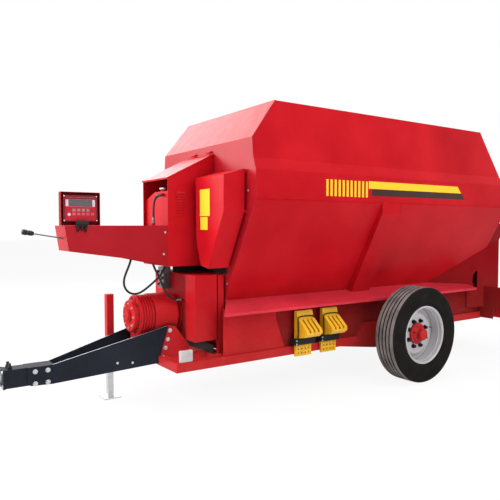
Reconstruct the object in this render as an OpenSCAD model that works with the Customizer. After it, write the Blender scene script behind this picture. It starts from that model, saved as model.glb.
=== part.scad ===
// Feed mixer wagon with four mixing augers, one axle and a drawbar.
// X points forward to the drawbar, Y to the left side, Z up from the ground.
// Lengths along the wagon are measured from the front wall of the tub (back is positive),
// and the function fwd() turns them into X with the origin under the middle of the wagon.

/* [Tub] */
// Outer length of the tub along its belt
tub_length = 3808; // [3300:1:4200]
// Half width over the belt that carries the stripes
belt_half = 903; // [860:1:960]
// Half width over the top rim
rim_half = 811; // [760:1:850]
// Height of the belt's lower edge
belt_bottom = 1850; // [1800:1:1880]
// Height of the belt panel
belt_panel = 252; // [220:1:280]
// Height of the upper sides above the belt panel
upper_tall = 629; // [560:1:700]
// Thickness of the tub sheets
tub_wall = 8; // [5:1:10]
// Half width between the trough's outer walls
trough_half = 396; // [392:1:410]
// Height of the trough's upper edge
trough_top = 919; // [900:1:940]

/* [Augers] */
// Height of the lower augers' axes
lower_axis = 790; // [780:1:800]
// Radius over the lower augers' flights
lower_flight = 184; // [150:1:184]
// Height of the upper augers' axes
upper_axis = 1790; // [1760:1:1820]
// Half distance between the upper augers
upper_half = 519; // [490:1:530]
// Radius over the upper augers' flights
upper_flight = 195; // [150:1:220]
// Pitch of every flight
flight_pitch = 420; // [360:10:520]
// Radius of the augers' tubes
auger_tube = 76; // [60:1:85]

/* [Running gear] */
// Outer radius of the tyres
tyre_radius = 492; // [480:1:520]
// Width of the tyres
tyre_width = 260; // [230:1:280]
// Half width over the tyres
track_half = 1150; // [1130:1:1200]
// Distance of the axle behind the tub's front wall
axle_back = 1963; // [1800:1:2100]
// Radius of the rim's flange
rim_radius = 298; // [285:1:305]

/* [Frame] */
// Half width over the frame rails
rail_half = 574; // [565:1:590]
// Height of the rails' underside
rail_bottom = 353; // [348:1:358]
// Side of the square rail tubes
rail_tube = 80; // [70:1:90]
// Length of the frame ahead of the tub's front wall
nose_length = 590; // [560:1:640]

/* [Drawbar and jack] */
// Distance of the hitch flange ahead of the front wall
hitch_reach = 1860; // [1800:1:1950]
// Height of the hitch tube's middle
hitch_height = 382; // [372:1:392]
// Height of the jack sleeve's top
jack_top = 975; // [950:1:1000]

/* [Cabinet and boom] */
// Depth of the cabinet ahead of the front wall
cabinet_depth = 486; // [460:1:500]
// Length of the control boom ahead of the cabinet
boom_length = 926; // [850:1:1000]

/* [Hidden] */
$fn = 64;

// Overall reach of the wagon before and behind the tub's front wall
eye_hole = 25;
eye_ring = 55;
eye_centre = hitch_reach + 125;
front_end = eye_centre + eye_ring;
cover_reach = 187;
board_gap = cover_reach + 10;
board_plate = 40;
rear_end = tub_length + board_gap + board_plate;
mid_shift = (front_end - rear_end) / 2;
function fwd(x) = x - mid_shift;

// Solids from outlines: a section in Y and Z swept along X, and a side view swept along Y
module along_x(x0, x1) {
    translate([fwd(x0), 0, 0]) rotate([90, 0, 90]) linear_extrude(x1 - x0) children();
}
module along_y(y0, y1) {
    translate([fwd(0), y1, 0]) rotate([90, 0, 0]) linear_extrude(y1 - y0) children();
}
module block(x0, x1, y0, y1, z0, z1) {
    translate([fwd(x0), y0, z0]) cube([x1 - x0, y1 - y0, z1 - z0]);
}
module rod_x(x0, x1, y, z, r) {
    translate([fwd(x0), y, z]) rotate([0, 90, 0]) cylinder(h = x1 - x0, r = r);
}
module rod_y(x, y0, y1, z, r) {
    translate([fwd(x), y0, z]) rotate([-90, 0, 0]) cylinder(h = y1 - y0, r = r);
}
module both_sides() {
    children();
    mirror([0, 1, 0]) children();
}

// Folded sheet: the outline of a bent line with a thickness to its left
function unit(v) = v / norm(v);
function left_of(v) = [-v[1], v[0]];
function mitre(a, b) = (a + b) / (1 + a * b);
function fold_normal(p, i) =
    let (n = len(p))
    let (before = left_of(unit(i > 0 ? p[i] - p[i - 1] : p[1] - p[0])))
    let (after = left_of(unit(i < n - 1 ? p[i + 1] - p[i] : p[n - 1] - p[n - 2])))
    mitre(before, after);
function shifted(p, t) = [for (i = [0:len(p) - 1]) p[i] + t * fold_normal(p, i)];
function reversed(p) = [for (i = [len(p) - 1:-1:0]) p[i]];
function sheet(p, t) = concat(p, reversed(shifted(p, t)));
// Closed outline moved to its left by t
function loop_normal(p, i) =
    let (n = len(p))
    mitre(left_of(unit(p[i] - p[(i + n - 1) % n])), left_of(unit(p[(i + 1) % n] - p[i])));
function inset(p, t) = [for (i = [0:len(p) - 1]) p[i] + t * loop_normal(p, i)];

// Tub section: heights and half widths of its folds
belt_skirt = 20;
belt_top = belt_bottom + belt_panel;
rim_height = belt_top + upper_tall;
belt_sheet = 6;
shoulder_half = belt_half - 39;
shoulder_height = belt_top + 100;
rim_strip = 80;
rim_flange = 45;
lower_half = belt_half - belt_sheet;
lap = 50;
slope_top = belt_bottom - belt_skirt;
slope_run = (lower_half - trough_half) / (slope_top - trough_top);
seat = 0.4;
function side_y(z) = trough_half + (z - trough_top) * slope_run;
upper_path = [
    [belt_half, belt_bottom],
    [belt_half, belt_top],
    [shoulder_half, shoulder_height],
    [rim_half + 6, rim_height - rim_strip],
    [rim_half, rim_height],
    [rim_half - rim_flange, rim_height]
];
lower_path = [[trough_half, trough_top], [lower_half, slope_top], [lower_half, belt_bottom + lap]];

// Frame rails that other pieces are placed from
rail_inner = rail_half - rail_tube;
rail_top = rail_bottom + rail_tube;

// Side view of the end walls
front_tall = 353;
front_setback = 274;
rear_tall = 746;
rear_setback = 466;
wall_foot = 560;
front_path = [[0, wall_foot], [0, rim_height - front_tall], [-front_setback, rim_height]];
rear_path = [[-tub_length, wall_foot], [-tub_length, rim_height - rear_tall], [-tub_length + rear_setback, rim_height]];
module between_walls() {
    along_y(-belt_half - 50, belt_half + 50)
        polygon(concat(shifted(front_path, tub_wall), reversed(shifted(rear_path, -tub_wall))));
}

// Trough: two round channels side by side
lower_half_gap = 190;
trough_radius = trough_half - lower_half_gap;
module trough_shape(r, half) {
    for (side = [-1, 1]) translate([side * lower_half_gap, lower_axis]) intersection() {
        circle(r = r);
        translate([-r, -r]) square([2 * r, r]);
    }
    translate([-half, lower_axis]) square([2 * half, trough_top - lower_axis]);
}
module tub_outline() {
    union() {
        polygon(concat([[0, trough_top]], [lower_path[0], lower_path[1],
            [lower_half, belt_bottom], [belt_half, belt_bottom]],
            [for (i = [1:4]) upper_path[i]],
            [for (i = [4:-1:1]) [-upper_path[i][0], upper_path[i][1]]],
            [[-belt_half, belt_bottom], [-lower_half, belt_bottom],
            [-lower_half, slope_top], [-trough_half, trough_top]]));
        trough_shape(trough_radius, trough_half);
    }
}

paint = [0.78, 0.09, 0.11];
paint_dark = [0.62, 0.07, 0.09];
charcoal = [0.18, 0.2, 0.21];

module upper_side() {
    color(paint) intersection() {
        along_x(-tub_length - 50, 50) polygon(sheet(upper_path, belt_sheet));
        between_walls();
    }
}
module upper_sides() { both_sides() upper_side(); }

// Discharge opening in the right side, measured along the slope from the trough's edge
door_back = 200;
door_span = 700;
door_low = 40;
door_high = 330;
slope_angle = atan(1 / slope_run);
module on_slope() {
    // local x along the wagon, y up the slope, z outwards from the right side's sheet
    translate([fwd(0), -trough_half, trough_top]) rotate([180 - slope_angle, 0, 0]) children();
}
module lower_side() {
    color(paint) intersection() {
        along_x(-tub_length - 50, 50) polygon(sheet(lower_path, tub_wall));
        between_walls();
    }
}
module lower_sides() {
    lower_side();
    color(paint) difference() {
        mirror([0, 1, 0]) lower_side();
        on_slope() translate([-door_back - door_span, door_low, -40])
            cube([door_span, door_high - door_low, 60]);
    }
}
shaft_radius = 30;
module shaft_holes(x0, x1, r) {
    for (side = [-1, 1]) {
        rod_x(x0, x1, side * lower_half_gap, lower_axis, r);
        rod_x(x0, x1, side * upper_half, upper_axis, r);
    }
}
module end_wall(path, t) {
    color(paint) difference() {
        intersection() {
            along_y(-belt_half - 50, belt_half + 50) polygon(sheet(path, t));
            along_x(-tub_length - 50, 50) tub_outline();
        }
        shaft_holes(-tub_length - 50, 50, shaft_radius + 5);
    }
}
module front_wall() { end_wall(front_path, tub_wall); }
module rear_wall() { end_wall(rear_path, -tub_wall); }
module trough() {
    color(paint_dark) along_x(-tub_length + tub_wall, -tub_wall) difference() {
        trough_shape(trough_radius, trough_half);
        for (side = [-1, 1]) translate([side * lower_half_gap, lower_axis]) circle(r = trough_radius - tub_wall);
        translate([-trough_half + tub_wall, lower_axis])
            square([2 * (trough_half - tub_wall), trough_top - lower_axis + 10]);
    }
}

// Ledges that cover the frame on both sides
ledge_half = 690;
ledge_drop = 80;
ledge_sheet = 6;
ledge_path = [
    [trough_half, trough_top - 60],
    [trough_half, trough_top - 2],
    [ledge_half, trough_top - ledge_drop],
    [ledge_half, trough_top - ledge_drop - 25]
];
ledge_back = -tub_length + 298;
nose_start = 24;
nose_reach = 185;
chute_front = door_back - 60;
chute_back = door_back + door_span + 60;
module ledge(x0, x1) {
    along_x(x0, x1) polygon(sheet(ledge_path, -ledge_sheet));
}
// The ledge runs on past the front wall and its end is cut at an angle there
module ledge_nose() {
    intersection() {
        ledge(-1, nose_reach);
        translate([fwd(0), 0, 0]) linear_extrude(trough_top) polygon([
            [-2, trough_half + nose_start], [nose_reach, ledge_half],
            [nose_reach, ledge_half + 20], [-2, ledge_half + 20]]);
    }
}
module side_ledges() {
    color(paint) {
        union() {
            ledge(ledge_back, 0);
            ledge_nose();
        }
        mirror([0, 1, 0]) {
            ledge(ledge_back, -chute_back - 5);
            union() {
                ledge(-chute_front + 5, 0);
                ledge_nose();
            }
        }
    }
}

// Cover behind the rear wall, with flanks that flare from the trough and wings on the frame's end
fit = 0.3;
frame_end = tub_length - 38;
flank_front = tub_length - 858;
flank_start = trough_half + 4;
flank_flare = 0.2655;
cover_sheet = 5;
cover_low = 577;
cover_high = 1640;
cover_back = -tub_length - cover_reach;
function flank_y(x) = flank_start + (-flank_front - x) * flank_flare;
function side_z(y) = trough_top + (y - trough_half) / slope_run;
wing_sheet = 6;
wing_half = 900;
wing_low = 434;
notch_inner = 762;
notch_outer = 850;
slot_side = [[214, 900], [202, 985], [168, 1033], [138, 1033], [138, 830], [196, 830]];
module flank() {
    back = cover_back + 1;
    difference() {
        translate([fwd(0), 0, 0]) linear_extrude(cover_high) polygon(sheet(
            [[-flank_front, flank_y(-flank_front)], [back, flank_y(back)]], cover_sheet));
        along_x(cover_back - 10, -flank_front + 10) polygon([
            [0, trough_top + seat], [trough_half + seat, trough_top + seat], [lower_half + seat, slope_top],
            [lower_half + seat, cover_high + 50], [0, cover_high + 50]]);
        along_x(ledge_back - fit, -flank_front + 10) polygon([
            [0, 0], [wing_half, 0], [wing_half, trough_top - ledge_drop + seat], [ledge_half, trough_top - ledge_drop + seat],
            [trough_half, trough_top - 2 + seat], [0, trough_top - 2 + seat]]);
        translate([fwd(cover_back - 10), 0, 0]) cube([-cover_back, wing_half, cover_low]);
        along_y(0, wing_half) polygon([for (p = slot_side) [-tub_length + p[0], p[1]]]);
    }
}
module wing() {
    along_x(-frame_end - fit - wing_sheet, -frame_end - fit) polygon([
        [rail_inner, wing_low], [notch_inner - 8, wing_low], [notch_inner, cover_low], [notch_outer, cover_low],
        [notch_outer, wing_low], [wing_half, wing_low], [wing_half, trough_top - ledge_drop],
        [rail_inner, trough_top - ledge_drop]]);
}
module rear_cover() {
    roof = side_y(cover_high);
    shoulder_y = flank_y(-tub_length) - 2;
    back_y = flank_y(cover_back);
    color(paint) union() {
        along_x(cover_back, -tub_length - fit) polygon(sheet([
            [shoulder_y, side_z(shoulder_y)], [roof, cover_high], [-roof, cover_high],
            [-shoulder_y, side_z(shoulder_y)]], cover_sheet));
        along_x(cover_back, cover_back + cover_sheet) polygon([
            [-back_y, cover_low], [back_y, cover_low], [back_y, side_z(back_y)], [roof, cover_high],
            [-roof, cover_high], [-back_y, side_z(back_y)]]);
        both_sides() {
            flank();
            wing();
        }
    }
}

// Pillars that stiffen the sides beside the axle
pillar_front = 1564;
pillar_width = 270;
pillar_sheet = 6;
function ledge_z(y) = trough_top - 2 - (y - trough_half) * (ledge_drop - 2) / (ledge_half - trough_half);
pillar_foot = 470;
pillar_flap = 121;
pillar_face = [
    [pillar_foot, ledge_z(pillar_foot) + seat],
    [belt_half, belt_bottom - pillar_flap],
    [belt_half, belt_bottom - 1]
];
module pillar() {
    root_y = trough_half + 8;
    web = concat(pillar_face, [
        [lower_half + seat, belt_bottom - 1],
        [lower_half + seat, slope_top],
        [root_y, trough_top + 6],
        [root_y, ledge_z(root_y) + seat]
    ]);
    back = -pillar_front - pillar_width;
    along_x(-pillar_front - pillar_sheet, -pillar_front) polygon(web);
    along_x(back, back + pillar_sheet) polygon(web);
    along_x(back, -pillar_front) polygon(sheet(pillar_face, pillar_sheet - 0.5));
}
module side_pillars() { color(paint) both_sides() pillar(); }

// Frame: two rails, cross members and the bracket for the drawbar
rear_rise = 72;
step_back = 2300;
cross_front = 15;
post_front = 84;
post_back = 22;
post_outer = 416;
post_inner = 380;
post_top = 1158;
bracket_half = 215;
bracket_plate = 12;
axle_tube = 110;
axle_height = tyre_radius;
axle_top = axle_height + axle_tube / 2;
cross_places = [nose_length - rail_tube, cross_front, -1180, -2900, -frame_end];
rail_side = [
    [nose_length, rail_bottom],
    [nose_length, rail_top],
    [-axle_back + 420, rail_top],
    [-axle_back + 300, axle_top + 15],
    [-axle_back - 300, axle_top + 15],
    [-axle_back - 420, rail_top + rear_rise],
    [-frame_end, rail_top + rear_rise],
    [-frame_end, rail_bottom + rear_rise],
    [-axle_back - 420, rail_bottom + rear_rise],
    [-axle_back - 337, rail_bottom]
];
bracket_top = 706;
bracket_side = [
    [nose_length, rail_bottom + 18],
    [nose_length - 99, bracket_top],
    [nose_length - 163, bracket_top - 14],
    [nose_length - 299, bracket_top - 197],
    [nose_length - 299, rail_top],
    [cross_front + 45, rail_top],
    [cross_front + 45, rail_bottom + 2],
    [nose_length, rail_bottom + 2]
];
hanger_sheet = 12;
hanger_low = 282;
hanger_side = [
    [-axle_back + 663, rail_bottom + 1],
    [-axle_back + 144, hanger_low],
    [-axle_back - 144, hanger_low],
    [-axle_back - 337, rail_bottom + 1]
];
module chassis() {
    color(paint) difference() {
        union() {
            for (y = [-rail_half, rail_inner]) along_y(y, y + rail_tube) polygon(rail_side);
            for (x = cross_places) {
                rise = x < -step_back ? rear_rise : 0;
                block(x, x + rail_tube, -rail_inner - 1, rail_inner + 1, rail_bottom + rise, rail_top + rise);
            }
            for (y = [-bracket_half - bracket_plate, bracket_half])
                along_y(y, y + bracket_plate) polygon(bracket_side);
            both_sides() {
                along_y(rail_half - hanger_sheet, rail_half) polygon(hanger_side);
                block(post_back, post_front, post_inner, post_outer, rail_top - 1, post_top);
            }
        }
        block(-axle_back - axle_tube / 2, -axle_back + axle_tube / 2, -rail_half - 50, rail_half + 50,
            axle_height - axle_tube / 2, axle_top);
    }
}

// Cradles that carry the trough on the load cells
cell_height = 40;
cradle_places = [-130, -1330, -axle_back - 487, -tub_length + 175];
cradle_sheet = 12;
skirt_y = 548;
function cell_seat(x) = x < -step_back ? rail_top + rear_rise : rail_top;
function cradle_foot(x) = cell_seat(x) + cell_height;
cradle_half = skirt_y - 18;
module cradle(x) {
    foot = cradle_foot(x);
    along_x(x - cradle_sheet / 2, x + cradle_sheet / 2) difference() {
        polygon([
            [-cradle_half, foot], [cradle_half, foot],
            [cradle_half, ledge_z(cradle_half) - 30], [trough_half + seat, trough_top - 66],
            [-trough_half - seat, trough_top - 66], [-cradle_half, ledge_z(cradle_half) - 30]]);
        trough_shape(trough_radius + seat, trough_half + seat);
    }
}
module cradles() { color(paint_dark) for (x = cradle_places) cradle(x); }
module load_cells() {
    color("silver") both_sides() for (x = cradle_places)
        block(x - 30, x + 30, rail_inner + 4, rail_inner + 34, cell_seat(x), cradle_foot(x));
}

// Skirt sheets between frame and ledge at the front
skirt_sheet = 4;
skirt_side = [
    [110, rail_top],
    [110, ledge_z(skirt_y) - 13],
    [-470, ledge_z(skirt_y) - 13],
    [-490, 705],
    [-590, rail_top]
];
apron_front = 5;
module front_skirts() {
    color(paint) {
        both_sides() along_y(skirt_y, skirt_y + skirt_sheet) polygon(skirt_side);
        block(1, apron_front, -cradle_half, cradle_half, rail_top + fit, wall_foot - 0.5);
    }
}
// Panels that close the sides between the frame's rails and the ledges
panel_sheet = 4;
panel_front = -460;
panel_y = cradle_half + 0.6;
panel_top = ledge_z(panel_y + panel_sheet) - ledge_sheet - 1;
module side_panels() {
    color(paint) both_sides() along_y(panel_y, panel_y + panel_sheet) polygon([
        [panel_front, panel_top],
        [panel_front, rail_top + fit],
        [-axle_back + 420 + fit, rail_top + fit],
        [-axle_back + 300 + fit, axle_top + 15 + fit],
        [-axle_back - 300 - fit, axle_top + 15 + fit],
        [-axle_back - 420 - fit, rail_top + rear_rise + fit],
        [-frame_end + 1, rail_top + rear_rise + fit],
        [-frame_end + 1, panel_top]]);
}

// Axle, hubs and wheels
wheel_middle = track_half - tyre_width / 2;
disc_face = 2;
spindle_radius = 35;
spindle_reach = 25;
beam_half = wheel_middle - 190;
module axle() {
    color(paint_dark) union() {
        block(-axle_back - axle_tube / 2, -axle_back + axle_tube / 2, -beam_half, beam_half,
            axle_height - axle_tube / 2, axle_top);
        both_sides() rod_y(-axle_back, beam_half - 20, wheel_middle + spindle_reach, axle_height, spindle_radius);
    }
}
module at_wheel() {
    translate([fwd(-axle_back), wheel_middle, axle_height]) rotate([-90, 0, 0]) children();
}
// Half section of the tyre in radius and width, from the middle of the tread to the bead
bead_radius = rim_radius - 12;
bead_half = 105;
tread_half = tyre_width / 2 - 18;
side_middle = (tyre_radius + bead_radius) / 2 - 10;
tyre_section = [
    [tyre_radius, tread_half - 12],
    [tyre_radius - 3, tread_half],
    [tyre_radius - 16, tyre_width / 2 - 9],
    [side_middle + 40, tyre_width / 2 - 1],
    [side_middle, tyre_width / 2],
    [side_middle - 40, tyre_width / 2 - 3],
    [rim_radius + 6, bead_half + 8],
    [rim_radius + 4, bead_half],
    [bead_radius, bead_half]
];
module tyre() {
    color("black") at_wheel() rotate_extrude($fn = 96) polygon(concat(
        tyre_section, [for (p = reversed(tyre_section)) [p[0], -p[1]]]));
}
module tyre_left() { tyre(); }
module tyre_right() { mirror([0, 1, 0]) tyre(); }
stud_circle = 275;
stud_count = 8;
stud_radius = 10;
disc_sheet = 10;
rim_sheet = 8;
spigot_radius = 110;
rim_section = [
    [bead_radius - rim_sheet, -bead_half - 8],
    [rim_radius, -bead_half - 10],
    [rim_radius, -bead_half - fit],
    [bead_radius - fit, -bead_half - fit],
    [bead_radius - fit, bead_half + fit],
    [rim_radius, bead_half + fit],
    [rim_radius, bead_half + 10],
    [rim_radius - 10, bead_half + 14],
    [bead_radius - rim_sheet, bead_half + 2]
];
disc_section = [
    [spigot_radius + 0.5, disc_face - disc_sheet],
    [205, disc_face - disc_sheet],
    [245, disc_face - 40],
    [bead_radius - 4, disc_face - 40],
    [bead_radius - 4, disc_face - 40 + disc_sheet],
    [248, disc_face - 40 + disc_sheet],
    [208, disc_face],
    [spigot_radius + 0.5, disc_face]
];
module studs(z, h, r) {
    for (k = [0:stud_count - 1]) rotate([0, 0, (k + 0.5) * 360 / stud_count])
        translate([stud_circle / 2, 0, z]) cylinder(h = h, r = r);
}
module wheel_disc() {
    color("gainsboro") at_wheel() difference() {
        union() {
            rotate_extrude($fn = 96) polygon(rim_section);
            rotate_extrude($fn = 96) polygon(disc_section);
        }
        studs(disc_face - 20, 40, stud_radius + 1);
    }
}
module wheel_disc_left() { wheel_disc(); }
module wheel_disc_right() { mirror([0, 1, 0]) wheel_disc(); }
hub_back = disc_face - 115;
bore_end = spindle_reach + 6;
hub_section = [
    [spindle_radius + 0.1, hub_back],
    [80, hub_back],
    [80, disc_face - 40],
    [168, disc_face - 32],
    [168, disc_face - disc_sheet - fit],
    [spigot_radius, disc_face - disc_sheet - fit],
    [spigot_radius, disc_face + 20],
    [92, disc_face + 26],
    [66, disc_face + 48],
    [58, disc_face + 52],
    [58, disc_face + 96],
    [48, disc_face + 103],
    [0, disc_face + 103],
    [0, bore_end],
    [spindle_radius + 0.1, bore_end]
];
module hub() {
    color(paint) at_wheel() union() {
        rotate_extrude($fn = 96) polygon(hub_section);
        studs(disc_face - 30, 56, stud_radius);
    }
}
module hub_left() { hub(); }
module hub_right() { mirror([0, 1, 0]) hub(); }

// Drawbar: two splayed plates bolted to the hitch tube and to the frame's brackets
hitch_half = 71;
hitch_tall = 150;
hitch_back = hitch_reach - 380;
plate_end = hitch_reach - 170;
plate_heel = hitch_reach - 200;
plate_bend = hitch_reach - 370;
plate_sheet = 12;
plate_seat = bracket_half - plate_sheet;
plate_path = [[plate_end, hitch_half], [plate_bend, hitch_half], [nose_length + 10, plate_seat], [nose_length - 170, plate_seat]];
hitch_top = hitch_height + hitch_tall / 2;
hitch_low = hitch_height - hitch_tall / 2;
plate_side = [
    [plate_end, hitch_low + 8], [plate_end, hitch_top], [plate_bend, hitch_top], [nose_length - 99, bracket_top],
    [nose_length - 170, bracket_top],
    [nose_length - 170, rail_top + fit], [nose_length + fit, rail_top + fit], [nose_length + fit, rail_bottom + 18],
    [plate_bend, hitch_low - 12], [plate_heel, hitch_low - 4]
];
plate_room = bracket_top - hitch_low + 100;
module drawbar_plates() {
    color(charcoal) both_sides() intersection() {
        translate([fwd(0), 0, hitch_low - 50]) linear_extrude(plate_room) polygon(sheet(plate_path, -plate_sheet));
        along_y(0, rail_half) polygon(plate_side);
    }
}
flange_sheet = 14;
module hitch_tube() {
    color(charcoal) difference() {
        union() {
            block(hitch_back, hitch_reach, -hitch_half, hitch_half, hitch_low, hitch_top);
            block(hitch_reach, hitch_reach + flange_sheet, -hitch_half - 4, hitch_half + 4, hitch_low - 4, hitch_top + 4);
        }
        block(hitch_back - 10, hitch_reach - 60, -hitch_half + 10, hitch_half - 10, hitch_low + 10, hitch_top - 10);
        rod_x(hitch_reach - 70, hitch_reach + 50, 0, hitch_height, 30.1);
    }
}
module tow_eye() {
    eye_thick = 42;
    color("dimgray") difference() {
        union() {
            rod_x(hitch_reach - 55, eye_centre - 40, 0, hitch_height, 30);
            translate([fwd(eye_centre), 0, hitch_height - eye_thick / 2]) cylinder(h = eye_thick, r = eye_ring);
        }
        translate([fwd(eye_centre), 0, hitch_height - 50]) cylinder(h = 100, r = eye_hole);
    }
}

// Parking jack on the right drawbar plate
jack_ahead = 885;
sleeve_half = 33;
sleeve_gap = 24;
plate_splay = (plate_seat - hitch_half) / (plate_bend - nose_length - 10);
function plate_outer(x) = hitch_half + (plate_bend - x) * plate_splay + plate_sheet * norm([1, plate_splay]);
jack_side = -plate_outer(jack_ahead) - sleeve_gap - sleeve_half;
leg_half = 26;
leg_gap = 0.3;
jack_travel = 300;
foot_half = 80;
foot_sheet = 12;
module jack_sleeve() {
    color(paint) difference() {
        union() {
            block(jack_ahead - sleeve_half, jack_ahead + sleeve_half, jack_side - sleeve_half, jack_side + sleeve_half,
                foot_sheet + jack_travel + 20, jack_top);
            translate([fwd(0), 0, 410]) linear_extrude(140) polygon([
                [jack_ahead - 60, -plate_outer(jack_ahead - 60) - fit],
                [jack_ahead - 60, jack_side + sleeve_half - 1],
                [jack_ahead + 60, jack_side + sleeve_half - 1],
                [jack_ahead + 60, -plate_outer(jack_ahead + 60) - fit]]);
        }
        block(jack_ahead - leg_half - leg_gap, jack_ahead + leg_half + leg_gap,
            jack_side - leg_half - leg_gap, jack_side + leg_half + leg_gap, 0, jack_top - 8);
    }
}
module jack_leg() {
    color("silver") {
        block(jack_ahead - leg_half, jack_ahead + leg_half, jack_side - leg_half, jack_side + leg_half,
            foot_sheet - 1, jack_top - jack_travel - 20);
        block(jack_ahead - foot_half, jack_ahead + foot_half, jack_side - foot_half, jack_side + foot_half, 0, foot_sheet);
    }
}

// Gearbox with a ribbed round front cover
gear_rib = 186;
gear_cover = 174;
gear_body = 194;
gear_front = 785;
body_front = gear_front - 185;
case_reach = 325;
gear_flange = 140;
pto_height = 550;
pto_radius = 17.5;
pto_housing = 110;
rib_count = 5;
rib_sheet = 10;
module gearbox() {
    color(paint) difference() {
        union() {
            rod_x(body_front - 1, gear_front - 45, 0, lower_axis, gear_cover);
            for (k = [0:rib_count - 1]) let (x = body_front + 20 + k * 26)
                rod_x(x, x + rib_sheet, 0, lower_axis, gear_rib);
            rod_x(gear_front - 46, gear_front, 0, lower_axis, gear_cover - 33);
            rod_x(gear_front - 1, gear_front + 12, 0, lower_axis, 60);
            rod_x(case_reach + 53, body_front, 0, lower_axis, gear_body);
            rod_x(case_reach, case_reach + 54, 0, lower_axis, gear_flange);
            rod_x(case_reach, case_reach + 14, 0, lower_axis, gear_flange + 30);
            block(case_reach + 75, gear_front - 60, -pto_housing, pto_housing, pto_height - 60, lower_axis);
        }
        rod_x(gear_front - 220, gear_front, 0, pto_height, pto_radius + 0.1);
    }
}
module pto_shaft() {
    color("silver") union() {
        rod_x(gear_front - 210, gear_front + 60, 0, pto_height, pto_radius);
        rod_x(gear_front - 58, gear_front - 48, 0, pto_height, pto_radius + 12);
    }
}
case_half = 236;
case_low = wall_foot;
case_high = 1165;
case_sheet = 6;
gland_radius = 15;
module drive_case() {
    color(paint_dark) union() {
        difference() {
            block(fit, case_reach, -case_half, case_half, case_low, case_high);
            block(-10, case_reach - case_sheet, -case_half + case_sheet, case_half - case_sheet,
                case_low + case_sheet, case_high - case_sheet);
        }
        rod_x(case_reach - 1, feed_end[0], feed_end[1], feed_end[2], gland_radius);
    }
}
// Valve block on the case's face with the ports of its hoses
valve_reach = 75;
valve_low = 1010;
valve_high = 1215;
valve_left = -70;
valve_right = -190;
module valve_block() {
    color("dimgray") union() {
        block(case_reach + fit, case_reach + valve_reach, valve_right, valve_left, valve_low, valve_high);
        for (z = [valve_low + 40, valve_low + 100, valve_high - 45]) {
            rod_x(case_reach + valve_reach - 1, case_reach + valve_reach + 18, valve_left - 32, z, 16);
            rod_x(case_reach + valve_reach - 1, case_reach + valve_reach + 30, valve_right + 34, z, 12);
        }
    }
}

// Chain guards on the front wall
guard_reach = 235;
guard_gap = 20;
guard_sheet = 4;
foot_side = 12;
guard_left_edge = 272;
guard_right_edge = 343;
function guard_face(edge) = [[494, 1230], [761, 1736], [766, 2130], [edge, 2130],
    [max(edge, 284), 1477], [max(edge + 2, 363), 1252]];
guard_front_top = 2048;
guard_back_top = 2117;
module guard_shape(loop, x0, x1, drop) {
    intersection() {
        along_x(x0, x1) polygon(loop);
        along_y(0, belt_half) polygon([[-5, 1100], [x1, 1100], [x1, guard_front_top - drop],
            [0, guard_back_top - drop], [-5, guard_back_top - drop]]);
    }
}
module chain_guard(edge) {
    color(paint) union() {
        difference() {
            guard_shape(guard_face(edge), guard_gap, guard_reach, 0);
            guard_shape(inset(guard_face(edge), guard_sheet), -3, guard_reach - guard_sheet, guard_sheet);
        }
        for (p = inset(guard_face(edge), foot_side + 1)) let (z = min(p[1], guard_back_top - 2 * foot_side - 10))
            block(fit, guard_gap + 6, p[0] - foot_side, p[0] + foot_side, z - foot_side, z + foot_side);
    }
}
module chain_guards() {
    chain_guard(guard_left_edge);
    mirror([0, 1, 0]) chain_guard(guard_right_edge);
}
lower_outer = 415;
lower_back = cross_front + rail_tube + fit;
module lower_guards() {
    color(paint) both_sides() difference() {
        block(lower_back, case_reach, case_half + fit, lower_outer, case_low, case_high);
        block(lower_back - 5, case_reach - guard_sheet, case_half + fit + guard_sheet, lower_outer - guard_sheet,
            case_low + guard_sheet, case_high - guard_sheet);
    }
}

// Cabinet for the hydraulics with its hinged lid
cabinet_left = 207;
cabinet_right = -339;
cabinet_sheet = 4;
cabinet_low = 1240;
boom_top = 1615;
floor_height = 1300;
lid_back = 2294;
lid_front = 2050;
lid_sheet = 4;
lid_gap = 1;
lid_overhang = 4;
lid_lip = 12;
lid_fall = (lid_back - lid_front) / cabinet_depth;
cabinet_side = [[fit, cabinet_low], [cabinet_depth, cabinet_low], [cabinet_depth, lid_front], [fit, lid_back]];
module cabinet() {
    color(paint) union() {
        for (y = [cabinet_right, cabinet_left - cabinet_sheet])
            along_y(y, y + cabinet_sheet) polygon(cabinet_side);
        block(cabinet_depth - cabinet_sheet, cabinet_depth, cabinet_right, cabinet_left, cabinet_low, boom_top);
        block(fit, cabinet_depth, cabinet_right, cabinet_left, floor_height, floor_height + cabinet_sheet);
        translate([fwd(loop_end[0]), loop_end[1], loop_end[2]])
            cylinder(h = floor_height + 1 - loop_end[2], r = gland_radius);
        block(fit, fit + cabinet_sheet, cabinet_right, cabinet_left, cabinet_low, lid_back - 30);
        for (y = hinge_places) {
            block(fit, hinge_x - hinge_radius + 1, y + 61, y + 91, lid_back - 40, hinge_z);
            rod_y(hinge_x, y + 61, y + 91, hinge_z, hinge_radius);
            rod_y(hinge_x, y - 3, y + 62, hinge_z, pin_radius);
        }
    }
}
hinge_radius = 9;
pin_radius = 5;
hinge_x = 14;
hinge_z = lid_back + 22;
hinge_places = [-210, 90];
module cabinet_lid() {
    tip = cabinet_depth + lid_overhang;
    drop = lid_gap * norm([1, lid_fall]);
    color(paint) union() {
        along_y(cabinet_right - 6, cabinet_left + 6) polygon(sheet([
            [tip - 2, lid_back - lid_fall * tip + drop - lid_lip],
            [tip, lid_back - lid_fall * tip + drop],
            [10, lid_back - lid_fall * 10 + drop]], -lid_sheet));
        for (y = hinge_places) difference() {
            union() {
                rod_y(hinge_x, y, y + 60, hinge_z, hinge_radius);
                block(hinge_x - 4, hinge_x + 2, y, y + 60, lid_back - 8, hinge_z);
            }
            rod_y(hinge_x, y - 5, y + 65, hinge_z, pin_radius + 0.1);
        }
    }
}
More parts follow.
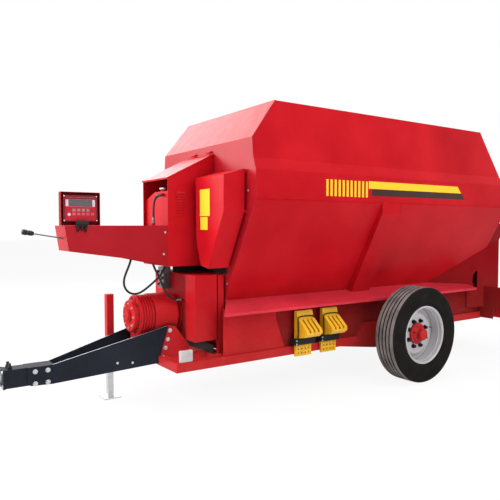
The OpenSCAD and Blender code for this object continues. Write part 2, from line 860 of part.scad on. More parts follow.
tank_back = 90;
tank_front = 455;
tank_low = floor_height + cabinet_sheet + fit;
tank_high = 1935;
tank_edge = 1865;
tank_left = cabinet_left - 12;
tank_right = cabinet_right + 9;
tank_bevel = 200;
neck_ahead = 400;
neck_side = -60;
module oil_tank() {
    color(paint) union() {
        along_x(tank_back, tank_front) polygon([
            [tank_right, tank_low], [tank_left, tank_low], [tank_left, tank_high],
            [tank_right + tank_bevel, tank_high], [tank_right, tank_edge]]);
        translate([fwd(neck_ahead), neck_side, tank_high - 1]) cylinder(h = 21, r = 26);
        translate([fwd(neck_ahead), neck_side, tank_high + 19]) cylinder(h = 21, r = 31);
        rod_x(tank_front - 1, tank_start[0], tank_start[1], tank_start[2], gland_radius);
    }
}

// Control boom with the weighing display and a lever
boom_left = cabinet_left;
boom_right = -83;
boom_sheet = 4;
boom_tip = cabinet_depth + boom_length;
boom_low = 1402;
boom_lean = 33;
elbow_ahead = 834;
elbow_height = 1320;
function boom_face(z) = boom_tip - boom_lean * (boom_top - z) / (boom_top - boom_low);
boom_side = [
    [cabinet_depth + fit, boom_top],
    [cabinet_depth + fit, cabinet_low + 6],
    [elbow_ahead, elbow_height],
    [boom_tip - boom_lean, boom_low],
    [boom_tip, boom_top]
];
bulkhead = 1398;
module boom() {
    color(paint) union() {
        difference() {
            along_y(boom_right, boom_left) polygon(boom_side);
            along_y(boom_right + boom_sheet, boom_left - boom_sheet) polygon([
                [cabinet_depth - 5, boom_top - boom_sheet],
                [cabinet_depth - 5, cabinet_low - 100],
                [elbow_ahead, cabinet_low - 100],
                [boom_face(boom_low - 100) - boom_sheet, boom_low - 100],
                [boom_face(boom_top - boom_sheet) - boom_sheet, boom_top - boom_sheet]]);
        }
        block(560, elbow_ahead, boom_right + 1, boom_left - 1, bulkhead, bulkhead + boom_sheet);
        for (p = [loop_start, feed_start])
            translate([fwd(p[0]), p[1], p[2]]) cylinder(h = bulkhead + 1 - p[2], r = gland_radius);
        translate([fwd(tank_end[0]), tank_end[1], boom_top - 1])
            cylinder(h = tank_end[2] - boom_top + 1, r = gland_radius);
    }
}
housing_back = 1114;
housing_front = 1440;
housing_tall = 276;
housing_deep = 60;
housing_sheet = 4;
display_inset = 21;
module display_housing() {
    color(paint_dark) difference() {
        block(housing_back, housing_front, boom_left - housing_deep, boom_left, boom_top + fit, boom_top + housing_tall);
        block(housing_back + housing_sheet, housing_front - housing_sheet, boom_left - housing_deep + housing_sheet,
            boom_left + 5, boom_top + fit + housing_sheet, boom_top + housing_tall - housing_sheet);
    }
}
module display() {
    color("firebrick") block(housing_back + display_inset, housing_front - display_inset,
        boom_left - housing_deep + housing_sheet + fit, boom_left - 7, boom_top + 35, boom_top + housing_tall - 26);
}

// Hoses that hang between their glands, each a tube swept along its route
hose_radius = 10;
hose_sides = 10;
loop_route = [
    [776, 60, 1380], [776, 60, 1320], [794, 60, 1262], [830, 60, 1198], [858, 60, 1135], [858, 60, 1080],
    [836, 60, 1030], [796, 60, 998], [744, 60, 986], [694, 60, 998], [640, 60, 1032], [590, 60, 1072],
    [540, 60, 1108], [492, 56, 1146], [455, 48, 1192], [438, 42, 1240], [434, 40, 1284]
];
feed_route = [
    [646, 188, 1380], [645, 188, 1325], [632, 188, 1268], [603, 188, 1212], [572, 188, 1160], [546, 188, 1105],
    [528, 190, 1050], [508, 192, 1000], [472, 192, 956], [425, 190, 932], [380, 190, 925], [345, 190, 925]
];
tank_route = [
    [475, 60, 1900], [495, 60, 1898], [515, 60, 1891], [535, 60, 1877], [550, 60, 1857], [558, 60, 1830],
    [560, 60, 1790], [560, 60, 1740], [560, 60, 1690], [560, 60, 1633]
];
loop_start = loop_route[0];
loop_end = loop_route[len(loop_route) - 1];
feed_start = feed_route[0];
feed_end = feed_route[len(feed_route) - 1];
tank_start = tank_route[0];
tank_end = tank_route[len(tank_route) - 1];
function route_way(p, i) = let (n = len(p))
    i == 0 ? (abs(p[1][0] - p[0][0]) > abs(p[1][2] - p[0][2]) ? [1, 0, 0] : [0, 0, -1])
    : i == n - 1 ? (abs(p[i][0] - p[i - 1][0]) > abs(p[i][2] - p[i - 1][2]) ? [-1, 0, 0]
        : [0, 0, p[i][2] > p[i - 1][2] ? 1 : -1])
    : unit(unit(p[i + 1] - p[i]) + unit(p[i] - p[i - 1]));
module hose(route) {
    count = len(route);
    side = [0, 1, 0];
    points = [for (i = [0:count - 1])
        let (way = route_way(route, i), v = unit(side - (side * way) * way), u = cross(v, way))
        for (k = [0:hose_sides - 1]) let (a = k * 360 / hose_sides)
            route[i] + hose_radius * (cos(a) * u + sin(a) * v)];
    faces = concat(
        [[for (k = [hose_sides - 1:-1:0]) k]],
        [for (i = [0:count - 2]) for (k = [0:hose_sides - 1]) let (
            a = i * hose_sides + k, b = i * hose_sides + (k + 1) % hose_sides)
            each [[a, b, b + hose_sides], [a, b + hose_sides, a + hose_sides]]],
        [[for (k = [0:hose_sides - 1]) (count - 1) * hose_sides + k]]);
    color("black") translate([fwd(0), 0, 0]) polyhedron(points, faces);
}
module loop_hose() { hose(loop_route); }
module feed_hose() { hose(feed_route); }
module tank_hose() { hose(tank_route); }
lever_side = 100;
lever_height = 1508;
module lever() {
    color("silver") translate([fwd(boom_tip - 18), lever_side, lever_height]) rotate([0, 90 - 10, 0]) union() {
        translate([0, 0, 4]) cylinder(h = 249, r = 6);
        translate([0, 0, 245]) cylinder(h = 50, r = 17);
        translate([0, 0, 290]) cylinder(h = 40, r = 21);
    }
}

// Mixing augers: a tube on a shaft with a helical flight round it
flight_sheet = 10;
flight_steps = 12;
auger_start = -60;
auger_end = -tub_length + 60;
module flight(r, hand) {
    inner = (auger_tube + 0.3) / cos(180 / flight_steps);
    turns = (auger_start - auger_end) / flight_pitch;
    count = floor(turns * flight_steps);
    points = [for (i = [0:count]) let (a = hand * i * 360 / flight_steps, x = i * flight_pitch / flight_steps)
        for (q = [[inner, 0], [r, 0], [r, flight_sheet], [inner, flight_sheet]])
            [x + q[1], q[0] * cos(a), q[0] * sin(a)]];
    ring = hand > 0 ? [[1, 0], [2, 1], [3, 2], [0, 3]] : [[0, 1], [1, 2], [2, 3], [3, 0]];
    faces = concat(
        [hand > 0 ? [3, 2, 1, 0] : [0, 1, 2, 3]],
        // Both faces of the flight are split along the same line, so that its sheet is even
        [for (i = [0:count - 1]) for (e = ring) let (a = 4 * i + e[0], b = 4 * i + e[1])
            each (min(e) > 1 ? [[a, a + 4, b + 4], [a, b + 4, b]] : [[a, a + 4, b], [b, a + 4, b + 4]])],
        [hand > 0 ? [for (k = [0:3]) 4 * count + k] : [for (k = [3:-1:0]) 4 * count + k]]);
    translate([fwd(auger_end), 0, 0]) polyhedron(points, faces);
}
module auger(y, z, r, hand, reach) {
    color("silver") {
        union() {
            rod_x(auger_end, auger_start, y, z, auger_tube);
            rod_x(-tub_length - 40, reach, y, z, shaft_radius);
        }
        translate([0, y, z]) flight(r, hand);
    }
}
module lower_auger_left() { auger(lower_half_gap, lower_axis, lower_flight, 1, 60); }
module lower_auger_right() { auger(-lower_half_gap, lower_axis, lower_flight, -1, 60); }
module upper_auger_left() { auger(upper_half, upper_axis, upper_flight, -1, 60); }
module upper_auger_right() { auger(-upper_half, upper_axis, upper_flight, 1, 60); }
module rear_bearings() {
    color(paint_dark) for (side = [-1, 1]) for (p = [[lower_half_gap, lower_axis], [upper_half, upper_axis]])
        difference() {
            union() {
                rod_x(-tub_length - 12, -tub_length - fit, side * p[0], p[1], 90);
                rod_x(-tub_length - 50, -tub_length - 11, side * p[0], p[1], 55);
            }
            rod_x(-tub_length - 44, -tub_length + 1, side * p[0], p[1], shaft_radius + 0.1);
        }
}

// Wheel chocks in their holders on the left rail
chock_places = [-780, -1110];
chock_wide = 200;
chock_low = 335;
chock_tall = 450;
chock_back = rail_half + 14;
chock_side = [[0, 0], [22, 0], [22, 180], [150, 205], [190, 240], [185, 275], [50, 385], [34, 450], [0, 450]];
slit_side = [[70, 200], [138, 216], [172, 245], [200, 260], [200, 290], [60, 410], [60, 360]];
hole_columns = [-66, -22, 22, 66];
hole_rows = [30, 70, 110];
tray_low = 122;
tray_tall = 56;
tray_ahead = 40;
module wheel_chocks() {
    color("gold") for (x = chock_places) difference() {
        along_x(x - chock_wide / 2, x + chock_wide / 2)
            polygon([for (p = chock_side) [chock_back + p[0], chock_low + p[1]]]);
        for (k = [-1, 0, 1]) along_x(x + k * 52 - 11, x + k * 52 + 11)
            polygon([for (p = slit_side) [chock_back + p[0], chock_low + p[1]]]);
        for (dx = hole_columns) for (z = hole_rows) rod_y(x + dx, chock_back - 5, chock_back + 30, chock_low + z, 9);
    }
}
module chock_holders() {
    color("black") for (x = chock_places) difference() {
        union() {
            block(x - chock_wide / 2 - 8, x + chock_wide / 2 + tray_ahead, rail_half + fit, chock_back + 70,
                chock_low + tray_low, chock_low + tray_low + tray_tall);
            block(x - chock_wide / 4, x + chock_wide / 4, rail_half + fit, chock_back - fit,
                rail_bottom + 20, chock_low + tray_low + 1);
        }
        along_x(x - chock_wide / 2 - fit, x + chock_wide / 2 + fit)
            polygon([for (p = inset(chock_side, -fit)) [chock_back + p[0], chock_low + p[1]]]);
    }
}
lamp_back = 40;
lamp_tall = 104;
module front_lamps() {
    color("whitesmoke") both_sides()
        block(nose_length - 160, nose_length - lamp_back, rail_half - 44, rail_half - 8, rail_top + fit, rail_top + lamp_tall);
}
board_half = 800;
board_low = 420;
board_high = 560;
arm_side = 400;
arm_half = 30;
module rear_board() {
    x = -tub_length - board_gap;
    arm_low = rail_top + rear_rise + fit;
    color(paint) union() {
        block(x - board_plate, x, -board_half, board_half, board_low, board_high);
        for (side = [-1, 1])
            block(x - 1, -frame_end + 40, side * arm_side - arm_half, side * arm_side + arm_half, arm_low, arm_low + 40);
    }
}

// Discharge on the right: a door that slides up the slope, its cylinder, guides and chute
door_sheet = 8;
door_lift = 300;
door_gap = 5;
door_lap = 25;
door_start = -door_back - door_span;
door_bottom = 25;
door_top = 355;
eye_up = 180;
rod_out = 45;
module discharge_door() {
    color(paint) on_slope() difference() {
        union() {
            translate([door_start - door_lap, door_bottom, door_gap])
                cube([door_span + 2 * door_lap, door_top - door_bottom, door_sheet]);
            translate([door_start + door_span / 2 - 25, eye_up - 30, door_gap + 1]) cube([50, 60, rod_out + 14]);
        }
        translate([door_start + door_span / 2, eye_up - 40, rod_out]) rotate([-90, 0, 0])
            cylinder(h = 120, r = 16.1);
    }
}
module door_rod() {
    color("silver") on_slope() translate([door_start + door_span / 2, eye_up - 28, rod_out])
        rotate([-90, 0, 0]) cylinder(h = 470, r = 16);
}
cylinder_foot = 900;
guide_long = 660;
module door_cylinder() {
    color("dimgray") on_slope() union() {
        translate([door_start + door_span / 2, 520, rod_out]) rotate([-90, 0, 0]) difference() {
            cylinder(h = 440, r = 28);
            translate([0, 0, 20]) cylinder(h = 414, r = 20);
            translate([0, 0, -1]) cylinder(h = 30, r = 16.1);
        }
        translate([door_start + door_span / 2 - 20, cylinder_foot, 0.3]) cube([40, 50, rod_out - 20]);
    }
}
module door_guides() {
    color(paint) on_slope() for (side = [0, 1])
        translate([side == 0 ? door_start - door_lap - 5 : door_start + door_span + door_lap + 5, 0, 0])
            mirror([side == 0 ? 1 : 0, 0, 0]) union() {
                translate([0, 20, 0.3]) cube([10, guide_long, 30]);
                translate([-25, 20, door_gap + door_sheet + 5]) cube([35, guide_long, 12]);
            }
}
chute_reach = 980;
chute_low = 640;
chute_lip = 120;
chute_path = [
    [trough_half, trough_top - 60],
    [trough_half, trough_top - 2],
    [ledge_half, trough_top - ledge_drop],
    [chute_reach, chute_low]
];
module discharge_chute() {
    color(paint) mirror([0, 1, 0]) union() {
        along_x(-chute_back, -chute_front) polygon(sheet(chute_path, -ledge_sheet));
        for (x = [-chute_back, -chute_front - 6]) along_x(x, x + 6) polygon([
            [trough_half + 60, ledge_z(trough_half + 60) - 2], [ledge_half, trough_top - ledge_drop - 2],
            [chute_reach, chute_low - 2], [chute_reach + 5, chute_low + chute_lip],
            [ledge_half + 10, trough_top + 41], [trough_half + 125, trough_top + 91]]);
    }
}

upper_sides();
lower_sides();
front_wall();
rear_wall();
rear_cover();
trough();
side_ledges();
side_pillars();
chassis();
cradles();
load_cells();
front_skirts();
side_panels();
axle();
tyre_left();
tyre_right();
wheel_disc_left();
wheel_disc_right();
hub_left();
hub_right();
drawbar_plates();
hitch_tube();
tow_eye();
jack_sleeve();
jack_leg();
gearbox();
drive_case();
pto_shaft();
valve_block();
chain_guards();
lower_guards();
cabinet();
cabinet_lid();
oil_tank();
boom();
display_housing();
display();
lever();
loop_hose();
feed_hose();
tank_hose();
lower_auger_left();
lower_auger_right();
upper_auger_left();
upper_auger_right();
rear_bearings();
wheel_chocks();
chock_holders();
front_lamps();
rear_board();
discharge_door();
door_rod();
door_cylinder();
door_guides();
discharge_chute();
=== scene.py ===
# %% [markdown]
# # A feed mixer wagon, dressed for its picture
# The wagon comes in as exact sheet metal, shafts and wheels. This notebook adds what steel
# drawings leave out: paint, tyre tread, bolts, stripes, keys, hoses and wear.
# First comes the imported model, and the box that it fills.

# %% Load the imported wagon
import math

import bmesh
import bpy
from mathutils import Matrix, Vector


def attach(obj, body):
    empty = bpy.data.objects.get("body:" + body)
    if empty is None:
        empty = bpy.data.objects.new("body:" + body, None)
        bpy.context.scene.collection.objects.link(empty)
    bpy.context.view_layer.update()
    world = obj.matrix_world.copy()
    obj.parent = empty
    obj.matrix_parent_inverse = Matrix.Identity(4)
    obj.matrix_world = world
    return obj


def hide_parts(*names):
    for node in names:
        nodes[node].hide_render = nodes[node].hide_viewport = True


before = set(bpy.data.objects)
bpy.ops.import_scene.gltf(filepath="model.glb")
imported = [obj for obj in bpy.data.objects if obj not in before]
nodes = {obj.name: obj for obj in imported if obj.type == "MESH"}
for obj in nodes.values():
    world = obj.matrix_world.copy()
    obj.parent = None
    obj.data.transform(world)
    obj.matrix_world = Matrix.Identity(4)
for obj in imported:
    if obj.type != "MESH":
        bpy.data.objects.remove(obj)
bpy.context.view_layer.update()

# %% [markdown]
# Lengths along a wagon are easiest to read from the tub's front wall, as a builder would
# measure them. One function turns those millimetres into the model's metres.

# %% Measure from the tub's front wall
FRONT_WALL = 1.0025
MM = 0.001


def spot(x, y, z):
    """A point in metres from millimetres ahead of the front wall, to the left, and up."""
    return Vector((FRONT_WALL + x * MM, y * MM, z * MM))


# %% [markdown]
# The camera stands where a person of average height stood, ahead of the wagon and to its
# left. A perspective lens is set by its focal length over the sensor's width, so both are
# written down, and the direction comes from a heading and a slight downward tilt.

# %% Set the camera
SENSOR = 36.0
FOCAL_SHARE = 558 / 500
HEADING = -2.171
TILT = -0.044
CAMERA_PLACE = (2734, 4811, 1616)
camera_data = bpy.data.cameras.new("camera")
camera_data.sensor_width = SENSOR
camera_data.lens = SENSOR * FOCAL_SHARE
camera = bpy.data.objects.new("camera", camera_data)
bpy.context.collection.objects.link(camera)
camera.location = spot(*CAMERA_PLACE)
look = Vector((math.cos(TILT) * math.cos(HEADING), math.cos(TILT) * math.sin(HEADING), math.sin(TILT)))
camera.rotation_euler = look.to_track_quat("-Z", "Y").to_euler()
bpy.context.scene.camera = camera
bpy.context.scene.view_settings.view_transform = "Standard"
print("lens in mm:", round(camera_data.lens, 2))

# %% [markdown]
# ## Hoses
# Three hydraulic hoses of 20 mm hang at the front. One makes a loop under the boom and goes
# up into the cabinet, one runs down to the drive case, and one leaves the oil tank. A hose
# is a fixed length of something stiff, so its line must have no kink: the points of the
# route are joined by a smooth curve, and a round section is carried along it.

# %% Routes of the hoses, in millimetres from the front wall
HOSE_RADIUS = 10
HOSE_SIDES = 5
RELAX_ROUNDS = {"loop_hose": 24, "feed_hose": 24, "tank_hose": 48}
HOSE_ROUTES = {
    "loop_hose": (
        (776, 60, 1380), (776, 60, 1320), (794, 60, 1262), (830, 60, 1198), (858, 60, 1135),
        (858, 60, 1080), (836, 60, 1030), (796, 60, 998), (744, 60, 986), (694, 60, 998),
        (640, 60, 1032), (590, 60, 1072), (540, 60, 1108), (492, 56, 1146), (455, 48, 1192),
        (438, 42, 1240), (434, 40, 1284)),
    "feed_hose": (
        (646, 188, 1380), (645, 188, 1325), (632, 188, 1268), (603, 188, 1212), (572, 188, 1160),
        (546, 188, 1105), (528, 190, 1050), (508, 192, 1000), (472, 192, 956), (425, 190, 932),
        (380, 190, 925), (345, 190, 925)),
    "tank_hose": (
        (475, 60, 1900), (495, 60, 1898), (515, 60, 1891), (535, 60, 1877), (550, 60, 1857),
        (558, 60, 1830), (560, 60, 1790), (560, 60, 1740), (560, 60, 1690), (560, 60, 1633)),
}


def smooth_line(points, steps=4):
    """More points on a smooth curve through the given ones, which keep their places."""
    ends = [points[0] * 2 - points[1], *points, points[-1] * 2 - points[-2]]
    line = []
    for before, start, end, after in zip(ends, ends[1:], ends[2:], ends[3:]):
        for k in range(steps):
            t = k / steps
            line.append(0.5 * (2 * start + (end - before) * t
                               + (2 * before - 5 * start + 4 * end - after) * t * t
                               + (3 * start - before - 3 * end + after) * t * t * t))
    line.append(points[-1])
    return line


def relaxed(line, rounds):
    """The line with its inner points drawn to their neighbours' middle, as a stiff hose does."""
    for _ in range(rounds):
        line = line[:2] + [line[k] * 0.5 + (line[k - 1] + line[k + 1]) * 0.25
                           for k in range(2, len(line) - 2)] + line[-2:]
    return line


def line_length(line):
    """The length along a line of points."""
    return sum((b - a).length for a, b in zip(line, line[1:]))


def round_tube(name, line, radius, sides=3):
    """A mesh tube with a round section and closed ends, made from a curve along a line."""
    data = bpy.data.curves.new(name, "CURVE")
    data.dimensions = "3D"
    spline = data.splines.new("POLY")
    spline.points.add(len(line) - 1)
    for point, place in zip(spline.points, line):
        point.co = (*place, 1)
    data.bevel_depth = radius
    data.bevel_resolution = sides
    data.use_fill_caps = True
    holder = bpy.data.objects.new(name + "_line", data)
    bpy.context.collection.objects.link(holder)
    bpy.context.view_layer.update()
    graph = bpy.context.evaluated_depsgraph_get()
    mesh = bpy.data.meshes.new_from_object(holder.evaluated_get(graph))
    bpy.data.objects.remove(holder)
    mesh.materials.clear()
    for face in mesh.polygons:
        face.use_smooth = len(face.vertices) == 4
    piece = bpy.data.objects.new(name, mesh)
    bpy.context.collection.objects.link(piece)
    return piece


# %% Hang the hoses
hoses = {}
hose_lines = {}
for name, route in HOSE_ROUTES.items():
    hose_lines[name] = relaxed(smooth_line([spot(*p) for p in route]), RELAX_ROUNDS[name])
    hoses[name] = round_tube("rubber_" + name, hose_lines[name], HOSE_RADIUS * MM, HOSE_SIDES)
    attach(hoses[name], "wagon")
    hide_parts(name)
    print(name, "length in mm:", round(line_length(hose_lines[name]) * 1000))

# %% [markdown]
# Outdoor shade is soft: most light comes from the sky above, some from one side. A world
# that is bright overhead and dimmer towards the ground does that. The camera itself sees
# plain white behind the wagon, and so do reflections and what shows through glass, which a
# share worked out from the kind of ray takes care of.

# %% Tell what the camera sees from what lights the wagon


def shown_share(tree):
    """One for rays from the camera, off a gloss or through glass, and zero for all others."""
    ray = tree.nodes.new("ShaderNodeLightPath")
    camera_or_gloss = tree.nodes.new("ShaderNodeMath")
    camera_or_gloss.operation = "MAXIMUM"
    any_shown = tree.nodes.new("ShaderNodeMath")
    any_shown.operation = "MAXIMUM"
    tree.links.new(ray.outputs["Is Camera Ray"], camera_or_gloss.inputs[0])
    tree.links.new(ray.outputs["Is Glossy Ray"], camera_or_gloss.inputs[1])
    tree.links.new(camera_or_gloss.outputs[0], any_shown.inputs[0])
    tree.links.new(ray.outputs["Is Transmission Ray"], any_shown.inputs[1])
    return any_shown.outputs[0]


# %% Light it like an open sky
SKY_STRENGTH = 0.75
SKY_DIM = (0.30, 0.30, 0.31, 1)
SKY_BRIGHT = (1.0, 1.0, 1.0, 1)
SKY_DIM_UP_TO = 0.35
world = bpy.data.worlds.new("sky")
bpy.context.scene.world = world
world.use_nodes = True
sky = world.node_tree
sky.nodes.clear()
sky_out = sky.nodes.new("ShaderNodeOutputWorld")
sky_mix = sky.nodes.new("ShaderNodeMixShader")
sky_light = sky.nodes.new("ShaderNodeBackground")
sky_seen = sky.nodes.new("ShaderNodeBackground")
sky_place = sky.nodes.new("ShaderNodeTexCoord")
sky_split = sky.nodes.new("ShaderNodeSeparateXYZ")
sky_ramp = sky.nodes.new("ShaderNodeValToRGB")
sky_ramp.color_ramp.elements[0].position = SKY_DIM_UP_TO
sky_ramp.color_ramp.elements[0].color = SKY_DIM
sky_ramp.color_ramp.elements[1].position = 1.0
sky_ramp.color_ramp.elements[1].color = SKY_BRIGHT
# The height of a direction runs from -1 to 1, and the ramp wants 0 to 1.
sky_scale = sky.nodes.new("ShaderNodeMath")
sky_scale.operation = "MULTIPLY_ADD"
sky_scale.inputs[1].default_value = 0.5
sky_scale.inputs[2].default_value = 0.5
sky_light.inputs["Strength"].default_value = SKY_STRENGTH
sky_seen.inputs["Color"].default_value = (1, 1, 1, 1)
sky.links.new(sky_place.outputs["Generated"], sky_split.inputs[0])
sky.links.new(sky_split.outputs["Z"], sky_scale.inputs[0])
sky.links.new(sky_scale.outputs[0], sky_ramp.inputs[0])
sky.links.new(sky_ramp.outputs[0], sky_light.inputs["Color"])
sky.links.new(shown_share(sky), sky_mix.inputs[0])
sky.links.new(sky_light.outputs[0], sky_mix.inputs[1])
sky.links.new(sky_seen.outputs[0], sky_mix.inputs[2])
sky.links.new(sky_mix.outputs[0], sky_out.inputs["Surface"])

# %% [markdown]
# Large square lamps stand for brighter parts of the sky. Two on the wagon's left are kept
# weak, because the camera looks at that side, and the front and the far side get more.

# %% Lamps
# Name, place, the point it is turned to, its width in metres and its power in watts.
LAMPS = (
    ("side_light", (0.0, 9.5, 4.0), (0, 0.8, 1.3), 5.0, 170),
    ("high_side_light", (-0.5, 7.5, 8.5), (0, 0.8, 1.0), 5.0, 330),
    ("front_light", (10.0, -0.5, 4.5), (0.8, 0, 1.4), 4.0, 620),
    ("right_light", (8.0, -7.0, 4.5), (0.8, 0, 1.6), 5.0, 620),
    ("far_light", (0.5, -9.0, 7.0), (0.8, 0, 2.3), 6.0, 430),
    ("top_light", (0, 0, 9.0), (0, 0, 1.5), 7.0, 420),
)


def area_light(name, place, aim, size, power):
    """A square soft lamp at a place, turned to a point."""
    data = bpy.data.lights.new(name, "AREA")
    data.size = size
    data.energy = power
    lamp = bpy.data.objects.new(name, data)
    bpy.context.collection.objects.link(lamp)
    lamp.location = place
    lamp.rotation_euler = (Vector(aim) - Vector(place)).to_track_quat("-Z", "Y").to_euler()


for lamp_row in LAMPS:
    area_light(*lamp_row)
print("lights:", len(bpy.data.lights))

# %% [markdown]
# The floor is a plain pale sheet, a hair below the tyres. It shows a soft shadow, and its
# own colour melts into the white behind, so nothing draws the eye from the wagon.

# %% Lay the floor
FLOOR_HALF = 60
FLOOR_DROP = 0.002
FLOOR_TONE = (0.82, 0.82, 0.82, 1)
FLOOR_WHITE_SHARE = 0.9
floor_mesh = bpy.data.meshes.new("floor")
floor_mesh.from_pydata(
    [(-FLOOR_HALF, -FLOOR_HALF, 0), (FLOOR_HALF, -FLOOR_HALF, 0), (FLOOR_HALF, FLOOR_HALF, 0),
     (-FLOOR_HALF, FLOOR_HALF, 0)], [], [(0, 1, 2, 3)])
floor = bpy.data.objects.new("floor", floor_mesh)
bpy.context.collection.objects.link(floor)
floor.location.z = -FLOOR_DROP
floor_paint = bpy.data.materials.new("floor_pale")
floor_paint.use_nodes = True
floor_tree = floor_paint.node_tree
floor_tree.nodes.clear()
floor_out = floor_tree.nodes.new("ShaderNodeOutputMaterial")
floor_mix = floor_tree.nodes.new("ShaderNodeMixShader")
floor_soft = floor_tree.nodes.new("ShaderNodeBsdfDiffuse")
floor_soft.inputs["Color"].default_value = FLOOR_TONE
floor_white = floor_tree.nodes.new("ShaderNodeEmission")
floor_white.inputs["Color"].default_value = (1, 1, 1, 1)
floor_share = floor_tree.nodes.new("ShaderNodeMath")
floor_share.operation = "MULTIPLY"
floor_share.inputs[1].default_value = FLOOR_WHITE_SHARE
floor_tree.links.new(shown_share(floor_tree), floor_share.inputs[0])
floor_tree.links.new(floor_share.outputs[0], floor_mix.inputs[0])
floor_tree.links.new(floor_soft.outputs[0], floor_mix.inputs[1])
floor_tree.links.new(floor_white.outputs[0], floor_mix.inputs[2])
floor_tree.links.new(floor_mix.outputs[0], floor_out.inputs["Surface"])
floor_mesh.materials.append(floor_paint)

# %% [markdown]
# ## Finishes
# Sprayed enamel on folded sheet is glossy but never perfect: the colour drifts a little,
# the gloss is broken by a fine orange peel, and dust dulls the lower parts. One recipe with
# a few numbers gives every paint on the wagon. Noise in Object coordinates stays on the
# metal when the camera moves, and a slow wave in the bump is the give of thin sheet between
# its folds.

# %% A recipe for sprayed paint


def shader_start(name):
    """A new material with one surface shader and its object coordinates."""
    material = bpy.data.materials.new(name)
    material.use_nodes = True
    tree = material.node_tree
    shader = tree.nodes["Principled BSDF"]
    place = tree.nodes.new("ShaderNodeTexCoord")
    return material, tree, shader, place.outputs["Object"]


def noise(tree, place, scale, detail=4.0, rough=0.55):
    """A noise value spread over the object at a scale per metre."""
    node = tree.nodes.new("ShaderNodeTexNoise")
    node.inputs["Scale"].default_value = scale
    node.inputs["Detail"].default_value = detail
    node.inputs["Roughness"].default_value = rough
    tree.links.new(place, node.inputs["Vector"])
    return node.outputs["Fac"]


def ramp(tree, value, low, high, first, last):
    """Turns a value between low and high into a colour between first and last."""
    node = tree.nodes.new("ShaderNodeValToRGB")
    node.color_ramp.elements[0].position = low
    node.color_ramp.elements[1].position = high
    node.color_ramp.elements[0].color = (*first, 1)
    node.color_ramp.elements[1].color = (*last, 1)
    tree.links.new(value, node.inputs[0])
    return node.outputs[0]


def blend_colours(tree, share, a, b):
    """A mix of two colours by a share that comes from other nodes."""
    node = tree.nodes.new("ShaderNodeMix")
    node.data_type = "RGBA"
    tree.links.new(share, node.inputs["Factor"])
    tree.links.new(a, node.inputs["A"])
    tree.links.new(b, node.inputs["B"])
    return node.outputs["Result"]


def add_bump(tree, shader, height, strength, depth, under=None):
    """Raises the surface by a height value, on top of another bump where one is given."""
    node = tree.nodes.new("ShaderNodeBump")
    node.inputs["Strength"].default_value = strength
    node.inputs["Distance"].default_value = depth
    tree.links.new(height, node.inputs["Height"])
    if under is not None:
        tree.links.new(under, node.inputs["Normal"])
    tree.links.new(node.outputs[0], shader.inputs["Normal"])
    return node.outputs[0]


def vary_gloss(tree, shader, value, low, high):
    """Lets the roughness wander between two limits with a noise value."""
    node = tree.nodes.new("ShaderNodeMapRange")
    node.inputs["To Min"].default_value = low
    node.inputs["To Max"].default_value = high
    tree.links.new(value, node.inputs["Value"])
    tree.links.new(node.outputs[0], shader.inputs["Roughness"])


DUST_TOP = 1.1
DUST_DARK = (0.20, 0.13, 0.09)
DUST_PALE = (0.34, 0.25, 0.18)
SHEET_WAVE = 0.012
ORANGE_PEEL = 0.0006


def paint(name, colour, rough=0.3, gloss_level=0.06, drift=0.12, dust=0.25):
    """Sprayed enamel: drifting colour, orange peel, and dust that fades out above the wheels."""
    material, tree, shader, place = shader_start(name)
    darker = tuple(c * (1 - drift) for c in colour)
    lighter = tuple(min(1, c * (1 + drift) + 0.004) for c in colour)
    clean = ramp(tree, noise(tree, place, scale=1.7, detail=3),
                 low=0.3, high=0.7, first=darker, last=lighter)
    height = tree.nodes.new("ShaderNodeSeparateXYZ")
    tree.links.new(place, height.inputs[0])
    low = tree.nodes.new("ShaderNodeMapRange")
    low.inputs["From Min"].default_value = 0.0
    low.inputs["From Max"].default_value = DUST_TOP
    low.inputs["To Min"].default_value = dust
    low.inputs["To Max"].default_value = 0.0
    tree.links.new(height.outputs["Z"], low.inputs["Value"])
    patches = tree.nodes.new("ShaderNodeMath")
    patches.operation = "MULTIPLY"
    tree.links.new(low.outputs[0], patches.inputs[0])
    tree.links.new(noise(tree, place, scale=6.0, detail=6, rough=0.65), patches.inputs[1])
    dirt = ramp(tree, noise(tree, place, scale=30, detail=3),
                low=0.2, high=0.8, first=DUST_DARK, last=DUST_PALE)
    colour_out = blend_colours(tree, patches.outputs[0], clean, dirt)
    tree.links.new(colour_out, shader.inputs["Base Color"])
    vary_gloss(tree, shader, noise(tree, place, scale=9.0, detail=4),
               low=rough - 0.05, high=rough + 0.12)
    shader.inputs["Specular IOR Level"].default_value = gloss_level
    waves = add_bump(tree, shader, noise(tree, place, scale=2.4, detail=2),
                     strength=0.2, depth=SHEET_WAVE)
    add_bump(tree, shader, noise(tree, place, scale=420, detail=2),
             strength=0.06, depth=ORANGE_PEEL, under=waves)
    return material


red_paint = paint("red_paint", (0.46, 0.004, 0.010), rough=0.30)
# A darker, duller copy of the red paint is painted shade, for the parts that lie in shade.
dark_red_paint = paint("dark_red_paint", (0.24, 0.003, 0.006), rough=0.42, gloss_level=0.03)
# The front wall's paint is a darker copy of the red with more gloss; the darker colour is painted shade.
front_shaded_paint = paint("front_shaded_paint", (0.37, 0.005, 0.012), rough=0.34, gloss_level=0.17)
# The boom's paint is a darker copy of the red, as painted shade.
boom_shaded_paint = paint("boom_shaded_paint", (0.34, 0.004, 0.010), rough=0.32, gloss_level=0.1)
